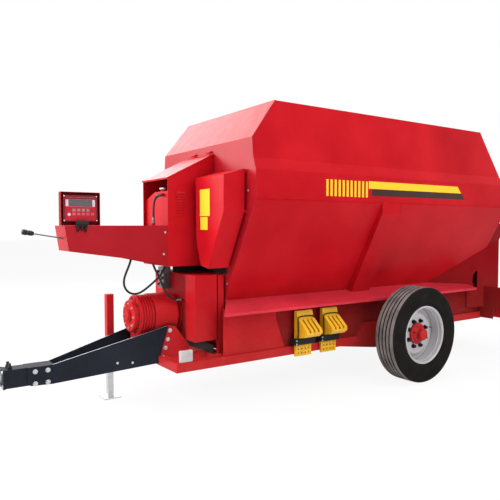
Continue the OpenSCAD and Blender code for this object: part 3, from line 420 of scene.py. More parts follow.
# The ledges' paint is a lighter, pinker copy of the red: a painted highlight for light on their upward
# faces.
lit_ledge_paint = paint("lit_ledge_paint", (0.60, 0.026, 0.048), rough=0.34, gloss_level=0.12)
charcoal_paint = paint("charcoal_paint", (0.008, 0.012, 0.020), rough=0.42,
                       gloss_level=0.05, drift=0.2, dust=0.06)
wheel_paint = paint("wheel_paint", (0.52, 0.52, 0.55), rough=0.38,
                    gloss_level=0.5, drift=0.06, dust=0.5)
stripe_yellow = paint("stripe_yellow", (0.88, 0.55, 0.03), rough=0.32, gloss_level=0.1, drift=0.05)
stripe_dark = paint("stripe_dark", (0.045, 0.022, 0.020), rough=0.32, gloss_level=0.1, drift=0.1)

# %% [markdown]
# Steel that runs in feed is scoured bright with fine lines, while shafts and tubes from the
# shop carry a zinc coat with cloudy crystals. Both are metals, so the metallic value is one
# and the colour variation stays small.

# %% Bare and zinc-coated steel


def steel(name, colour, rough, grain, stretch=(1, 1, 1)):
    """Bare metal with a fine grain, stretched along one way where it is brushed."""
    material, tree, shader, place = shader_start(name)
    turn = tree.nodes.new("ShaderNodeMapping")
    turn.inputs["Scale"].default_value = stretch
    tree.links.new(place, turn.inputs["Vector"])
    brushed = turn.outputs[0]
    shade = ramp(tree, noise(tree, brushed, scale=grain, detail=6, rough=0.6),
                 low=0.25, high=0.75, first=tuple(c * 0.72 for c in colour), last=colour)
    tree.links.new(shade, shader.inputs["Base Color"])
    shader.inputs["Metallic"].default_value = 1.0
    vary_gloss(tree, shader, noise(tree, brushed, scale=grain * 2, detail=4),
               low=rough - 0.1, high=rough + 0.15)
    add_bump(tree, shader, noise(tree, brushed, scale=grain * 6, detail=3),
             strength=0.12, depth=0.0006)
    return material


bare_steel = steel("bare_steel", (0.55, 0.54, 0.52), rough=0.38, grain=8.0, stretch=(6, 1, 1))
galvanised = steel("galvanised", (0.66, 0.67, 0.68), rough=0.42, grain=26.0)
dark_steel = steel("dark_steel", (0.16, 0.16, 0.17), rough=0.4, grain=20.0)
dark_nut = steel("dark_nut", (0.035, 0.03, 0.03), rough=0.6, grain=30.0)
worn_edge = steel("worn_edge", (0.42, 0.46, 0.52), rough=0.5, grain=18.0)

# %% [markdown]
# Tyre rubber is not black but a dark warm grey with a chalky bloom, and plastics have an
# even colour with a fine moulded grain. The same noise helper serves both.

# %% Rubber and plastics


def plastic(name, colour, rough, grain=260.0, grain_strength=0.1, drift=0.1, gloss_level=0.5):
    """Moulded plastic or rubber with an even colour and a fine grain."""
    material, tree, shader, place = shader_start(name)
    shader.inputs["Specular IOR Level"].default_value = gloss_level
    tone = ramp(tree, noise(tree, place, scale=7.0, detail=4), low=0.3, high=0.7,
                first=tuple(c * (1 - drift) for c in colour),
                last=tuple(min(1, c * (1 + drift)) for c in colour))
    tree.links.new(tone, shader.inputs["Base Color"])
    vary_gloss(tree, shader, noise(tree, place, scale=24.0, detail=3),
               low=rough - 0.06, high=rough + 0.08)
    add_bump(tree, shader, noise(tree, place, scale=grain, detail=2),
             strength=grain_strength, depth=0.0008)
    return material


tyre_rubber = plastic("tyre_rubber", (0.011, 0.0095, 0.009), rough=0.8,
                      grain=180.0, grain_strength=0.2, drift=0.3, gloss_level=0.05)
rib_rubber = plastic("rib_rubber", (0.145, 0.128, 0.124), rough=0.85,
                     grain=140.0, grain_strength=0.4, drift=0.4, gloss_level=0.1)
hose_rubber = plastic("hose_rubber", (0.012, 0.012, 0.013), rough=0.5,
                      grain=400.0, grain_strength=0.2, drift=0.2, gloss_level=0.25)
yellow_plastic = plastic("yellow_plastic", (0.78, 0.42, 0.008), rough=0.45)
black_plastic = plastic("black_plastic", (0.010, 0.010, 0.011), rough=0.5,
                        grain=260.0, grain_strength=0.1, drift=0.1, gloss_level=0.22)
lamp_white = plastic("lamp_white", (0.50, 0.47, 0.46), rough=0.25)
display_plastic = plastic("display_plastic", (0.15, 0.004, 0.012), rough=0.35,
                          grain=300.0, grain_strength=0.08, drift=0.1, gloss_level=0.2)
key_red = plastic("key_red", (0.40, 0.005, 0.018), rough=0.4,
                  grain=300.0, grain_strength=0.08, drift=0.1, gloss_level=0.2)
key_pink = plastic("key_pink", (0.55, 0.07, 0.12), rough=0.4,
                   grain=300.0, grain_strength=0.08, drift=0.15, gloss_level=0.2)
key_grey = plastic("key_grey", (0.26, 0.17, 0.14), rough=0.4,
                   grain=300.0, grain_strength=0.08, drift=0.2, gloss_level=0.2)
plate_white = plastic("plate_white", (0.58, 0.46, 0.48), rough=0.4)
screen_glass = plastic("screen_glass", (0.012, 0.013, 0.016), rough=0.12,
                       grain=500.0, grain_strength=0.01)
reflector_red = plastic("reflector_red", (0.55, 0.01, 0.01), rough=0.15,
                        grain=900.0, grain_strength=0.3, drift=0.02)

# %% [markdown]
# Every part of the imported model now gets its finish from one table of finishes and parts.

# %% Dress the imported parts
FINISHES = {
    red_paint: (
        "upper_sides lower_sides rear_wall side_pillars chassis front_skirts "
        "hub_left hub_right jack_sleeve gearbox chain_guards lower_guards cabinet cabinet_lid "
        "oil_tank rear_board discharge_door door_guides discharge_chute"),
    # The front wall gets the darker red, as painted shade.
    front_shaded_paint: "front_wall",
    # The boom gets the darker red, as painted shade.
    boom_shaded_paint: "boom",
    # The ledges get the lighter red, as a painted highlight.
    lit_ledge_paint: "side_ledges",
    # The parts that lie in shade get the darker red, as painted shade.
    dark_red_paint: "trough cradles axle drive_case display_housing rear_bearings side_panels rear_cover",
    dark_steel: "valve_block lever",
    charcoal_paint: "drawbar_plates hitch_tube",
    tyre_rubber: "tyre_left tyre_right",
    wheel_paint: "wheel_disc_left wheel_disc_right",
    bare_steel: (
        "tow_eye pto_shaft lower_auger_left lower_auger_right upper_auger_left upper_auger_right "
        "door_rod"),
    galvanised: "jack_leg load_cells door_cylinder",
    yellow_plastic: "wheel_chocks",
    black_plastic: "chock_holders",
    lamp_white: "front_lamps",
    display_plastic: "display",
    hose_rubber: "loop_hose feed_hose tank_hose",
}
for finish, names in FINISHES.items():
    for name in names.split():
        for material_slot in nodes[name].material_slots:
            material_slot.material = finish
for hose in hoses.values():
    hose.data.materials.append(hose_rubber)
print("dressed:", sum(len(names.split()) for names in FINISHES.values()))

# %% [markdown]
# ## Helpers for small parts
# Most trim is made of a few shapes: a box with softened edges, a turned profile, and a tube
# along a line. Each helper builds a mesh with its points already in place, so the finished
# object stays at the origin.

# %% Shapes for trim


def finish_mesh(name, mesh_maker, body, material):
    """Turns a filled bmesh into an object that rides on a body."""
    mesh = bpy.data.meshes.new(name)
    bmesh.ops.recalc_face_normals(mesh_maker, faces=mesh_maker.faces)
    mesh_maker.to_mesh(mesh)
    mesh_maker.free()
    mesh.materials.append(material)
    piece = bpy.data.objects.new(name, mesh)
    bpy.context.collection.objects.link(piece)
    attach(piece, body)
    print(name, "faces:", len(mesh.polygons))
    return piece


def add_box(maker, low, high, soften=0.0):
    """Adds a box between two corners, with its edges rounded by soften."""
    low, high = Vector(low), Vector(high)
    made = bmesh.ops.create_cube(maker, size=1.0)
    size = high - low
    for vertex in made["verts"]:
        x, y, z = vertex.co
        vertex.co = Vector((x * size.x, y * size.y, z * size.z)) + (low + high) / 2
    if soften > 0:
        edges = list({e for v in made["verts"] for e in v.link_edges})
        bmesh.ops.bevel(maker, geom=edges, offset=soften, segments=2, affect="EDGES", profile=0.7)
    return made


def add_plate(maker, outline, thickness, away):
    """Adds a flat plate from an outline, thickened along the direction away."""
    bottom = [maker.verts.new(p) for p in outline]
    top = [maker.verts.new(Vector(p) + Vector(away) * thickness) for p in outline]
    maker.faces.new(bottom)
    maker.faces.new(list(reversed(top)))
    for i in range(len(outline)):
        j = (i + 1) % len(outline)
        maker.faces.new((bottom[i], bottom[j], top[j], top[i]))


def box_piece(name, boxes, material, soften=0.0):
    """A piece of the wagon from boxes, each given by two corners in millimetres."""
    maker = bmesh.new()
    for low, high in boxes:
        add_box(maker, spot(*low), spot(*high), soften)
    return finish_mesh(name, maker, "wagon", material)


def plate_piece(name, outlines, away, material, thickness):
    """A piece of the wagon from flat plates, each given by its corners in millimetres."""
    maker = bmesh.new()
    for outline in outlines:
        add_plate(maker, [spot(*corner) for corner in outline], thickness * MM, away)
    return finish_mesh(name, maker, "wagon", material)


def turned(name, profile, place, axis, body, material, steps=48):
    """A solid of revolution from radius and length pairs along an axis, in millimetres."""
    maker = bmesh.new()
    turn = Vector(axis).to_track_quat("Z", "Y").to_matrix()
    rings = []
    for radius, length in profile:
        ring = []
        for k in range(steps):
            angle = 2 * math.pi * k / steps
            point = Vector((radius * math.cos(angle), radius * math.sin(angle), length)) * MM
            ring.append(maker.verts.new(place + turn @ point))
        rings.append(ring)
    for a, b in zip(rings, rings[1:]):
        for k in range(steps):
            maker.faces.new((a[k], a[(k + 1) % steps], b[(k + 1) % steps], b[k]))
    if profile[0][0] > 0 and profile[0] != profile[-1]:
        maker.faces.new(rings[0])
        maker.faces.new(list(reversed(rings[-1])))
    piece = finish_mesh(name, maker, body, material)
    for face in piece.data.polygons:
        face.use_smooth = True
    return piece


# %% [markdown]
# ## Bolts, made once and repeated
# A wagon is held by dozens of like bolts. Geometry Nodes place one hexagon head with its
# washer on every point of a small point cloud, so a change of size changes them all. The
# instances are realized at the end, because a plain mesh is what leaves Blender.

# %% The bolt tree


def node_input(tree, name, kind, value):
    """Adds a named input to a node tree and returns its identifier."""
    socket = tree.interface.new_socket(name, in_out="INPUT", socket_type=kind)
    if value is not None:
        socket.default_value = value
    return socket.identifier


bolt_tree = bpy.data.node_groups.new("bolt_heads", "GeometryNodeTree")
node_input(bolt_tree, "Points", "NodeSocketGeometry", None)
BOLT_RADIUS = node_input(bolt_tree, "Head Radius", "NodeSocketFloat", 0.012)
BOLT_HEIGHT = node_input(bolt_tree, "Head Height", "NodeSocketFloat", 0.009)
BOLT_TURN = node_input(bolt_tree, "Direction", "NodeSocketVector", (0, 1, 0))
BOLT_FINISH = node_input(bolt_tree, "Finish", "NodeSocketMaterial", None)
bolt_tree.interface.new_socket("Mesh", in_out="OUTPUT", socket_type="NodeSocketGeometry")

# The washer's radius and height, and the head's middle above it, as shares of the head.
WASHER_WIDTH = 1.35
WASHER_HEIGHT = 0.3
HEAD_LIFT = 0.7


def times(tree, value, factor):
    """A value from other nodes, multiplied by a fixed factor."""
    node = tree.nodes.new("ShaderNodeMath")
    node.operation = "MULTIPLY"
    node.inputs[1].default_value = factor
    tree.links.new(value, node.inputs[0])
    return node.outputs[0]


def end_tree(tree, source, geometry, sink):
    """Ends a tree: instances become real geometry, in the finish that was asked for."""
    real = tree.nodes.new("GeometryNodeRealizeInstances")
    dress = tree.nodes.new("GeometryNodeSetMaterial")
    tree.links.new(geometry, real.inputs[0])
    tree.links.new(real.outputs[0], dress.inputs["Geometry"])
    tree.links.new(source.outputs["Finish"], dress.inputs["Material"])
    tree.links.new(dress.outputs[0], sink.inputs[0])


def build_bolt_tree(tree):
    """A hexagon on a washer, put on every point and turned to one direction."""
    new = tree.nodes.new
    link = tree.links.new
    source = new("NodeGroupInput")
    sink = new("NodeGroupOutput")
    head = new("GeometryNodeMeshCylinder")
    head.inputs["Vertices"].default_value = 6
    washer = new("GeometryNodeMeshCylinder")
    washer.inputs["Vertices"].default_value = 20
    lift_vector = new("ShaderNodeCombineXYZ")
    shift = new("GeometryNodeTransform")
    both = new("GeometryNodeJoinGeometry")
    turn = new("FunctionNodeAlignRotationToVector")
    turn.axis = "Z"
    place = new("GeometryNodeInstanceOnPoints")
    link(source.outputs["Head Radius"], head.inputs["Radius"])
    link(source.outputs["Head Height"], head.inputs["Depth"])
    link(times(tree, source.outputs["Head Radius"], WASHER_WIDTH), washer.inputs["Radius"])
    link(times(tree, source.outputs["Head Height"], WASHER_HEIGHT), washer.inputs["Depth"])
    link(times(tree, source.outputs["Head Height"], HEAD_LIFT), lift_vector.inputs["Z"])
    link(head.outputs["Mesh"], shift.inputs["Geometry"])
    link(lift_vector.outputs[0], shift.inputs["Translation"])
    link(washer.outputs["Mesh"], both.inputs[0])
    link(shift.outputs[0], both.inputs[0])
    link(source.outputs["Direction"], turn.inputs["Vector"])
    link(source.outputs["Points"], place.inputs["Points"])
    link(both.outputs[0], place.inputs["Instance"])
    link(turn.outputs[0], place.inputs["Rotation"])
    end_tree(tree, source, place.outputs[0], sink)


build_bolt_tree(bolt_tree)


def bake(name, seed_mesh, tree, settings, body):
    """Puts a mesh through a node tree, and makes a plain piece of what comes out."""
    holder = bpy.data.objects.new(name + "_holder", seed_mesh)
    bpy.context.collection.objects.link(holder)
    modifier = holder.modifiers.new("tree", "NODES")
    modifier.node_group = tree
    for socket, value in settings:
        modifier[socket] = value
    bpy.context.view_layer.update()
    graph = bpy.context.evaluated_depsgraph_get()
    mesh = bpy.data.meshes.new_from_object(holder.evaluated_get(graph))
    piece = bpy.data.objects.new(name, mesh)
    bpy.context.collection.objects.link(piece)
    bpy.data.objects.remove(holder)
    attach(piece, body)
    print(name, "faces:", len(mesh.polygons))
    return piece


def bolts(name, points, direction, body, material, radius=12, height=9):
    """Bolt heads on a list of points in metres."""
    cloud = bpy.data.meshes.new(name + "_points")
    cloud.from_pydata([tuple(p) for p in points], [], [])
    settings = ((BOLT_RADIUS, radius * MM), (BOLT_HEIGHT, height * MM),
                (BOLT_TURN, tuple(direction)), (BOLT_FINISH, material))
    return bake(name, cloud, bolt_tree, settings, body)


# %% [markdown]
# ## Tyres
# A trailer tyre has straight ribs round its tread, with narrow grooves between them, a
# shoulder, and a bulged side with a bead ring. A profile turned round the axle gives all of
# that, and a slight zigzag of the ribs breaks up the lines. The turned piece takes the place
# of the plain ring in the model. The ribs' outside is worn paler, so it gets its own rubber.

# %% Tyres with ribs and grooves
SIDES = (("left", 1), ("right", -1))
AXLE_BACK = 1963
WHEEL_MIDDLE = 1020
AXLE_HEIGHT = 492
TYRE_RADIUS = 492
TYRE_STEPS = 288
SHOULDER = 112
GROOVE_DEPTH = 13
GROOVE_HALF = 7
GROOVES = (-66, -22, 22, 66)
GROOVE_CHAMFER = 1.5
GROOVE_LIP = 2
RIB_EDGE = 5
ZIGZAG = 1.3
ZIGZAG_STEPS = 4
ZIGZAG_MARGIN = 10
SHARP_ANGLE = 35


def tyre_profile():
    """Radius and sideways place of the tyre's outside, from bead to bead."""
    side = [(286, 105), (302, 105), (304, 113), (322, 120), (331, 124), (334, 128), (342, 127.5),
            (352, 127), (393, 130), (433, 129.5), (448, 127), (451, 128.5), (458, 127),
            (476, 121), (488, SHOULDER)]
    tread = [(TYRE_RADIUS - 1.5, SHOULDER - 6)]
    for middle in reversed(GROOVES):
        tread.append((TYRE_RADIUS, middle + GROOVE_HALF + GROOVE_CHAMFER))
        tread.append((TYRE_RADIUS - GROOVE_LIP, middle + GROOVE_HALF))
        tread.append((TYRE_RADIUS - GROOVE_DEPTH, middle + GROOVE_HALF - GROOVE_LIP))
        tread.append((TYRE_RADIUS - GROOVE_DEPTH, middle - GROOVE_HALF + GROOVE_LIP))
        tread.append((TYRE_RADIUS - GROOVE_LIP, middle - GROOVE_HALF))
        tread.append((TYRE_RADIUS, middle - GROOVE_HALF - GROOVE_CHAMFER))
    tread.append((TYRE_RADIUS - 1.5, -SHOULDER + 6))
    return side + tread + [(r, -y) for r, y in reversed(side)]


def zigzag_at(across, step):
    """How far a point of the tread is shifted sideways, at one step round the wheel."""
    if abs(across) >= SHOULDER - ZIGZAG_MARGIN:
        return 0
    share = (step % ZIGZAG_STEPS) / ZIGZAG_STEPS
    return ZIGZAG * (4 * abs(share - 0.5) - 1)


def is_on_rib(corners, place):
    """Whether a face with these corners lies on a rib's outside, going by their radius."""
    reaches = [math.hypot(corner.x - place.x, corner.z - place.z) for corner in corners]
    highest = (TYRE_RADIUS - GROOVE_LIP) * MM
    lowest = (TYRE_RADIUS - RIB_EDGE) * MM
    return max(reaches) > highest and min(reaches) > lowest


def make_tyre(side, sign):
    """The turned tyre of one wheel, closed at the bead, with ribs that run in a slight zigzag."""
    place = spot(-AXLE_BACK, sign * WHEEL_MIDDLE, AXLE_HEIGHT)
    maker = bmesh.new()
    rings = []
    for radius, across in tyre_profile():
        ring = []
        for k in range(TYRE_STEPS):
            angle = 2 * math.pi * k / TYRE_STEPS
            sideways = across + zigzag_at(across, k)
            offset = Vector((radius * math.cos(angle), sideways, radius * math.sin(angle))) * MM
            ring.append(maker.verts.new(place + offset))
        rings.append(ring)
    rings.append(rings[0])
    for a, b in zip(rings, rings[1:]):
        for k in range(TYRE_STEPS):
            j = (k + 1) % TYRE_STEPS
            maker.faces.new((a[k], a[j], b[j], b[k]))
    piece = finish_mesh("tyre_tread_" + side, maker, "wheel_" + side, tyre_rubber)
    piece.data.materials.append(rib_rubber)
    for face in piece.data.polygons:
        face.use_smooth = True
        if is_on_rib([piece.data.vertices[i].co for i in face.vertices], place):
            face.material_index = 1
    piece.data.set_sharp_from_angle(angle=math.radians(SHARP_ANGLE))
    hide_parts("tyre_" + side)
    return piece


for side, sign in SIDES:
    tyre = make_tyre(side, sign)
    on_ribs = sum(face.material_index for face in tyre.data.polygons)
    print(tyre.name, "faces on the ribs:", on_ribs)

# %% [markdown]
# Nuts stand on a circle of studs round the hub. Their points come from one formula, and
# the bolt tree does the rest.

# %% Wheel nuts
STUD_CIRCLE = 275
STUDS = 8
NUT_FACE = WHEEL_MIDDLE + 4.6
NUT_RADIUS = 17
NUT_HEIGHT = 25


def wheel_circle(radius, count, first, across):
    """Points on a circle round the axle, from a first angle in degrees."""
    points = []
    for k in range(count):
        angle = math.radians(first + k * 360 / count)
        points.append(spot(-AXLE_BACK + radius * math.cos(angle), across,
                           AXLE_HEIGHT + radius * math.sin(angle)))
    return points


for side, sign in SIDES:
    bolts("wheel_nuts_" + side,
          wheel_circle(STUD_CIRCLE / 2, STUDS, 180 / STUDS, sign * NUT_FACE),
          (0, sign, 0), "wheel_" + side, dark_nut, radius=NUT_RADIUS, height=NUT_HEIGHT)

# %% [markdown]
# ## Stripes
# The belt carries a row of upright yellow ticks, then a yellow band over a dark one. They
# are foil, so each is a plate less than a millimetre thick on the sheet, with a slanted end.
# The ticks repeat at one spacing, which is a job for a row of instances.

# %% The row tree
row_tree = bpy.data.node_groups.new("row_of_pieces", "GeometryNodeTree")
node_input(row_tree, "Piece", "NodeSocketGeometry", None)
ROW_COUNT = node_input(row_tree, "Count", "NodeSocketInt", 4)
ROW_STEP = node_input(row_tree, "Step", "NodeSocketVector", (0.1, 0, 0))
ROW_FINISH = node_input(row_tree, "Finish", "NodeSocketMaterial", None)
row_tree.interface.new_socket("Mesh", in_out="OUTPUT", socket_type="NodeSocketGeometry")


def build_row_tree(tree):
    """Repeats the piece along a straight line."""
    new = tree.nodes.new
    link = tree.links.new
    source = new("NodeGroupInput")
    sink = new("NodeGroupOutput")
    line = new("GeometryNodeMeshLine")
    line.mode = "OFFSET"
    place = new("GeometryNodeInstanceOnPoints")
    link(source.outputs["Count"], line.inputs["Count"])
    link(source.outputs["Step"], line.inputs["Offset"])
    link(line.outputs[0], place.inputs["Points"])
    link(source.outputs["Piece"], place.inputs["Instance"])
    end_tree(tree, source, place.outputs[0], sink)


build_row_tree(row_tree)


def row(name, maker, count, step, body, material):
    """Repeats a small mesh along a step, as one baked piece."""
    mesh = bpy.data.meshes.new(name + "_one")
    bmesh.ops.recalc_face_normals(maker, faces=maker.faces)
    maker.to_mesh(mesh)
    maker.free()
    settings = ((ROW_COUNT, count), (ROW_STEP, tuple(Vector(step) * MM)), (ROW_FINISH, material))
    return bake(name, mesh, row_tree, settings, body)


# %% Foil on the belt
BELT_FACE = 903.2
FOIL = 0.6
TICK_FIRST = -803
TICK_STEP = -52
TICK_COUNT = 11
TICK_WIDE = 27
TICK_LOW = 1892
TICK_HIGH = 2048
# Name, finish, front end, rear end at the bottom and at the top, lower and upper edge.
BANDS = (
    ("yellow_band_", stripe_yellow, -1364, -2855, -2790, 1979, 2053),
    ("dark_band_", stripe_dark, -1408, -2930, -2865, 1910, 1977),
)
for side, sign in SIDES:
    face = sign * BELT_FACE
    tick = bmesh.new()
    add_plate(tick,
              [spot(TICK_FIRST, face, TICK_LOW), spot(TICK_FIRST - TICK_WIDE, face, TICK_LOW),
               spot(TICK_FIRST - TICK_WIDE, face, TICK_HIGH), spot(TICK_FIRST, face, TICK_HIGH)],
              FOIL * MM, (0, sign, 0))
    row("ticks_" + side, tick, TICK_COUNT, (TICK_STEP, 0, 0), "wagon", stripe_yellow)
    for name, finish, front, rear_low, rear_high, low, high in BANDS:
        outline = [(front, face, low), (rear_low, face, low), (rear_high, face, high),
                   (front, face, high)]
        plate_piece(name + side, [outline], (0, sign, 0), finish, thickness=FOIL)

# %% [markdown]
# Two bare yellow plates sit on the front of the left chain guard.

# %% Plates on the guard
GUARD_FRONT = 235.2
# Right and left edge, lower and upper edge.
GUARD_PLATES = ((355, 528, 1700, 1940), (362, 490, 1576, 1691))
plate_piece("guard_plates",
            [[(GUARD_FRONT, y0, z0), (GUARD_FRONT, y1, z0), (GUARD_FRONT, y1, z1),
              (GUARD_FRONT, y0, z1)] for y0, y1, z0, z1 in GUARD_PLATES],
            (1, 0, 0), stripe_yellow, thickness=FOIL)

# %% [markdown]
# ## Bolts on the drawbar and frame
# The drawbar's plates are clamped to the hitch tube by four bolts a side, and to the red
# bracket behind them by four more. Zinc-coated heads stand out bright on the dark paint.
# The plates splay towards the rear, so a place on their face moves outwards with it.

# %% Drawbar bolts
PLATE_SPLAY = 0.1483
PLATE_NOSE = 1490
PLATE_OUTSIDE = 83.4
HITCH_FACE = 84.2
BRACKET_FACE = 228.6


def splayed(x, at_nose):
    """How far from the middle a drawbar plate's face is, from how far it is at the nose."""
    return at_nose + (PLATE_NOSE - x) * PLATE_SPLAY


for side, sign in SIDES:
    bolts("hitch_bolts_" + side,
          [spot(x, sign * HITCH_FACE, z) for x in (1530, 1631) for z in (318, 418)],
          (0, sign, 0), "wagon", galvanised, radius=15, height=12)
    bolts("bracket_bolts_" + side,
          [spot(x, sign * BRACKET_FACE, z)
           for x, z in ((482, 660), (505, 581), (528, 505), (548, 423))],
          (0, sign, 0), "wagon", galvanised, radius=14, height=10)
    bolts("plate_bolts_" + side,
          [spot(x, sign * splayed(x, PLATE_OUTSIDE), z) for x, z in ((958, 411), (826, 400))],
          (PLATE_SPLAY, sign, 0), "wagon", galvanised, radius=8, height=6)

# %% [markdown]
# The cut upper edges of the dark plates are worn to bare metal and show as a pale line from
# the side. A strip of worn steel, under a millimetre thick, lies on each edge.

# %% Worn edges of the drawbar plates
EDGE_NOSE = (1489, 457)
EDGE_REAR = (493, 705.5)
EDGE_INSIDE = 71.5
EDGE_OUTSIDE = 82.8
EDGE_LIFT = 0.3
EDGE_THICK = 0.7
for side, sign in SIDES:
    outline = [(x, sign * splayed(x, at_nose), z + EDGE_LIFT)
               for (x, z), at_nose in ((EDGE_NOSE, EDGE_INSIDE), (EDGE_NOSE, EDGE_OUTSIDE),
                                       (EDGE_REAR, EDGE_OUTSIDE), (EDGE_REAR, EDGE_INSIDE))]
    plate_piece("plate_edge_" + side, [outline], (0, 0, 1), worn_edge,
                thickness=EDGE_THICK)

# %% [markdown]
# Two upright studs with nuts clamp the tow eye's socket from above. A washer, a nut and the
# stud's end turn round one line, so a profile makes all three.

# %% Nuts that clamp the hitch tube
CLAMP_PROFILE = [(0, 0), (22, 0), (22, 4), (17.5, 5), (18, 7), (18, 22), (16.5, 24), (12, 25),
                 (12, 46), (10, 48), (0, 48)]
CLAMP_FORWARD = 1818
CLAMP_HALF = 36
TUBE_TOP = 457
for side, sign in SIDES:
    turned("clamp_nut_" + side, CLAMP_PROFILE, spot(CLAMP_FORWARD, sign * CLAMP_HALF, TUBE_TOP),
           (0, 0, 1), "wagon", dark_nut, steps=24)

# %% [markdown]
# The hitch tube ends in a flange with four bolts, and smaller ones hold the boom and the
# sheets of the front wall.

# %% Bolts on the hitch flange, the boom and the front wall
FLANGE_FACE = 1875
FLANGE_MIDDLE = 382
BOOM_FACE = 208
WALL_FACE = 1
bolts("flange_bolts",
      [spot(FLANGE_FACE, y, FLANGE_MIDDLE + z) for y in (-56, 56) for z in (-58, 58)],
      (1, 0, 0), "wagon", galvanised, radius=12, height=9)
bolts("boom_bolts", [spot(513, BOOM_FACE, 1554), spot(529, BOOM_FACE, 1356)],
      (0, 1, 0), "wagon", galvanised, radius=7, height=5)
bolts("wall_bolts",
      [spot(WALL_FACE, y, z) for y, z in ((441, 1078), (-441, 1078), (790, 1919), (-790, 1919))],
      (1, 0, 0), "wagon", galvanised, radius=8, height=6)

# %% [markdown]
# ## Weld beads
# Folded plates meet in fillet welds. A bead is a thin, slightly rippled rod along the joint:
# the tree cuts a line into short steps, varies the radius from step to step with a fixed
# seed, and carries a round section along it.

# %% The weld tree
weld_tree = bpy.data.node_groups.new("weld_bead", "GeometryNodeTree")
node_input(weld_tree, "Line", "NodeSocketGeometry", None)
WELD_RADIUS = node_input(weld_tree, "Bead Radius", "NodeSocketFloat", 0.004)
WELD_STEP = node_input(weld_tree, "Ripple Step", "NodeSocketFloat", 0.012)
WELD_FINISH = node_input(weld_tree, "Finish", "NodeSocketMaterial", None)
weld_tree.interface.new_socket("Mesh", in_out="OUTPUT", socket_type="NodeSocketGeometry")

RIPPLE_LOW = 0.75
RIPPLE_HIGH = 1.2
RIPPLE_SEED = 7
BEAD_SIDES = 6
# A ripple's length, as a multiple of the bead's radius.
RIPPLE_LENGTH = 3


def build_weld_tree(tree):
    """A rippled bead along every line of the mesh."""
    new = tree.nodes.new
    link = tree.links.new
    source = new("NodeGroupInput")
    sink = new("NodeGroupOutput")
    curve = new("GeometryNodeMeshToCurve")
    cut = new("GeometryNodeResampleCurve")
    cut.mode = "LENGTH"
    ripple = new("FunctionNodeRandomValue")
    ripple.data_type = "FLOAT"
    ripple.inputs[2].default_value = RIPPLE_LOW
    ripple.inputs[3].default_value = RIPPLE_HIGH
    ripple.inputs["Seed"].default_value = RIPPLE_SEED
    swell = new("GeometryNodeSetCurveRadius")
    section = new("GeometryNodeCurvePrimitiveCircle")
    section.inputs["Resolution"].default_value = BEAD_SIDES
    carry = new("GeometryNodeCurveToMesh")
    carry.inputs["Fill Caps"].default_value = True
    link(source.outputs["Line"], curve.inputs[0])
    link(curve.outputs[0], cut.inputs["Curve"])
    link(source.outputs["Ripple Step"], cut.inputs["Length"])
    link(cut.outputs[0], swell.inputs["Curve"])
    link(ripple.outputs[1], swell.inputs["Radius"])
    link(source.outputs["Bead Radius"], section.inputs["Radius"])
    link(swell.outputs[0], carry.inputs["Curve"])
    link(section.outputs[0], carry.inputs["Profile Curve"])
    # Where the node has an input for the section's scale, the ripple goes in there.
    if "Scale" in carry.inputs:
        spread = new("GeometryNodeInputRadius")
        link(spread.outputs[0], carry.inputs["Scale"])
    end_tree(tree, source, carry.outputs[0], sink)


build_weld_tree(weld_tree)


def welds(name, lines, radius, material, body="wagon"):
    """Weld beads along lines of points in metres, as one baked piece."""
    points = []
    edges = []
    for line in lines:
        first = len(points)
        points += [tuple(p) for p in line]
        edges += [(first + k, first + k + 1) for k in range(len(line) - 1)]
    mesh = bpy.data.meshes.new(name + "_lines")
    mesh.from_pydata(points, edges, [])
    settings = ((WELD_RADIUS, radius * MM), (WELD_STEP, RIPPLE_LENGTH * radius * MM),
                (WELD_FINISH, material))
    return bake(name, mesh, weld_tree, settings, body)


# %% Beads on the drawbar's bracket, the frame's post, the pillars and the hitch tube
FRAME_FOOT = 434
BRACKET_SIDE = 228
POST_SIDE = 416.5
POST_FACE = 84.5
PILLAR_SIDE = 904
BEAD = 4
THIN_BEAD = 3
for side, sign in SIDES:
    bracket = sign * BRACKET_SIDE
    post = sign * POST_SIDE
    pillar = sign * PILLAR_SIDE
    welds("bracket_weld_" + side,
          [[spot(291, bracket, FRAME_FOOT), spot(590, bracket, FRAME_FOOT)],
           [spot(292, bracket, 436), spot(292, bracket, 506)]], BEAD, red_paint)
    welds("post_weld_" + side,
          [[spot(POST_FACE, sign * 381, FRAME_FOOT), spot(POST_FACE, sign * 415, FRAME_FOOT)],
           [spot(23, post, FRAME_FOOT), spot(83, post, FRAME_FOOT)]], BEAD, red_paint)
    welds("pillar_weld_" + side,
          [[spot(x, pillar, 1735), spot(x, pillar, 1845)] for x in (-1566, -1832)],
          THIN_BEAD, red_paint)
# The bead runs round the square tube, where it meets the flange.
TUBE_CORNERS = ((-72, 306), (72, 306), (72, 458), (-72, 458), (-72, 306))
welds("flange_weld", [[spot(1859, y, z) for y, z in TUBE_CORNERS]], BEAD, charcoal_paint)

# %% [markdown]
# ## The cabinet's louvres
# Warm oil needs air, so the cabinet's side has a column of pressed louvres. Each is a low
# wedge, open at its lower edge, and the row tree repeats it.

# %% Pressed louvres
LOUVRE_COUNT = 9
LOUVRE_STEP = 25
LOUVRE_LOW = 1708
LOUVRE_ENDS = (402, 310)
# How far the wedge's corners stand off the sheet, and how high they are.
WEDGE = ((0, 18), (7, 4), (9, 0), (0, 0))
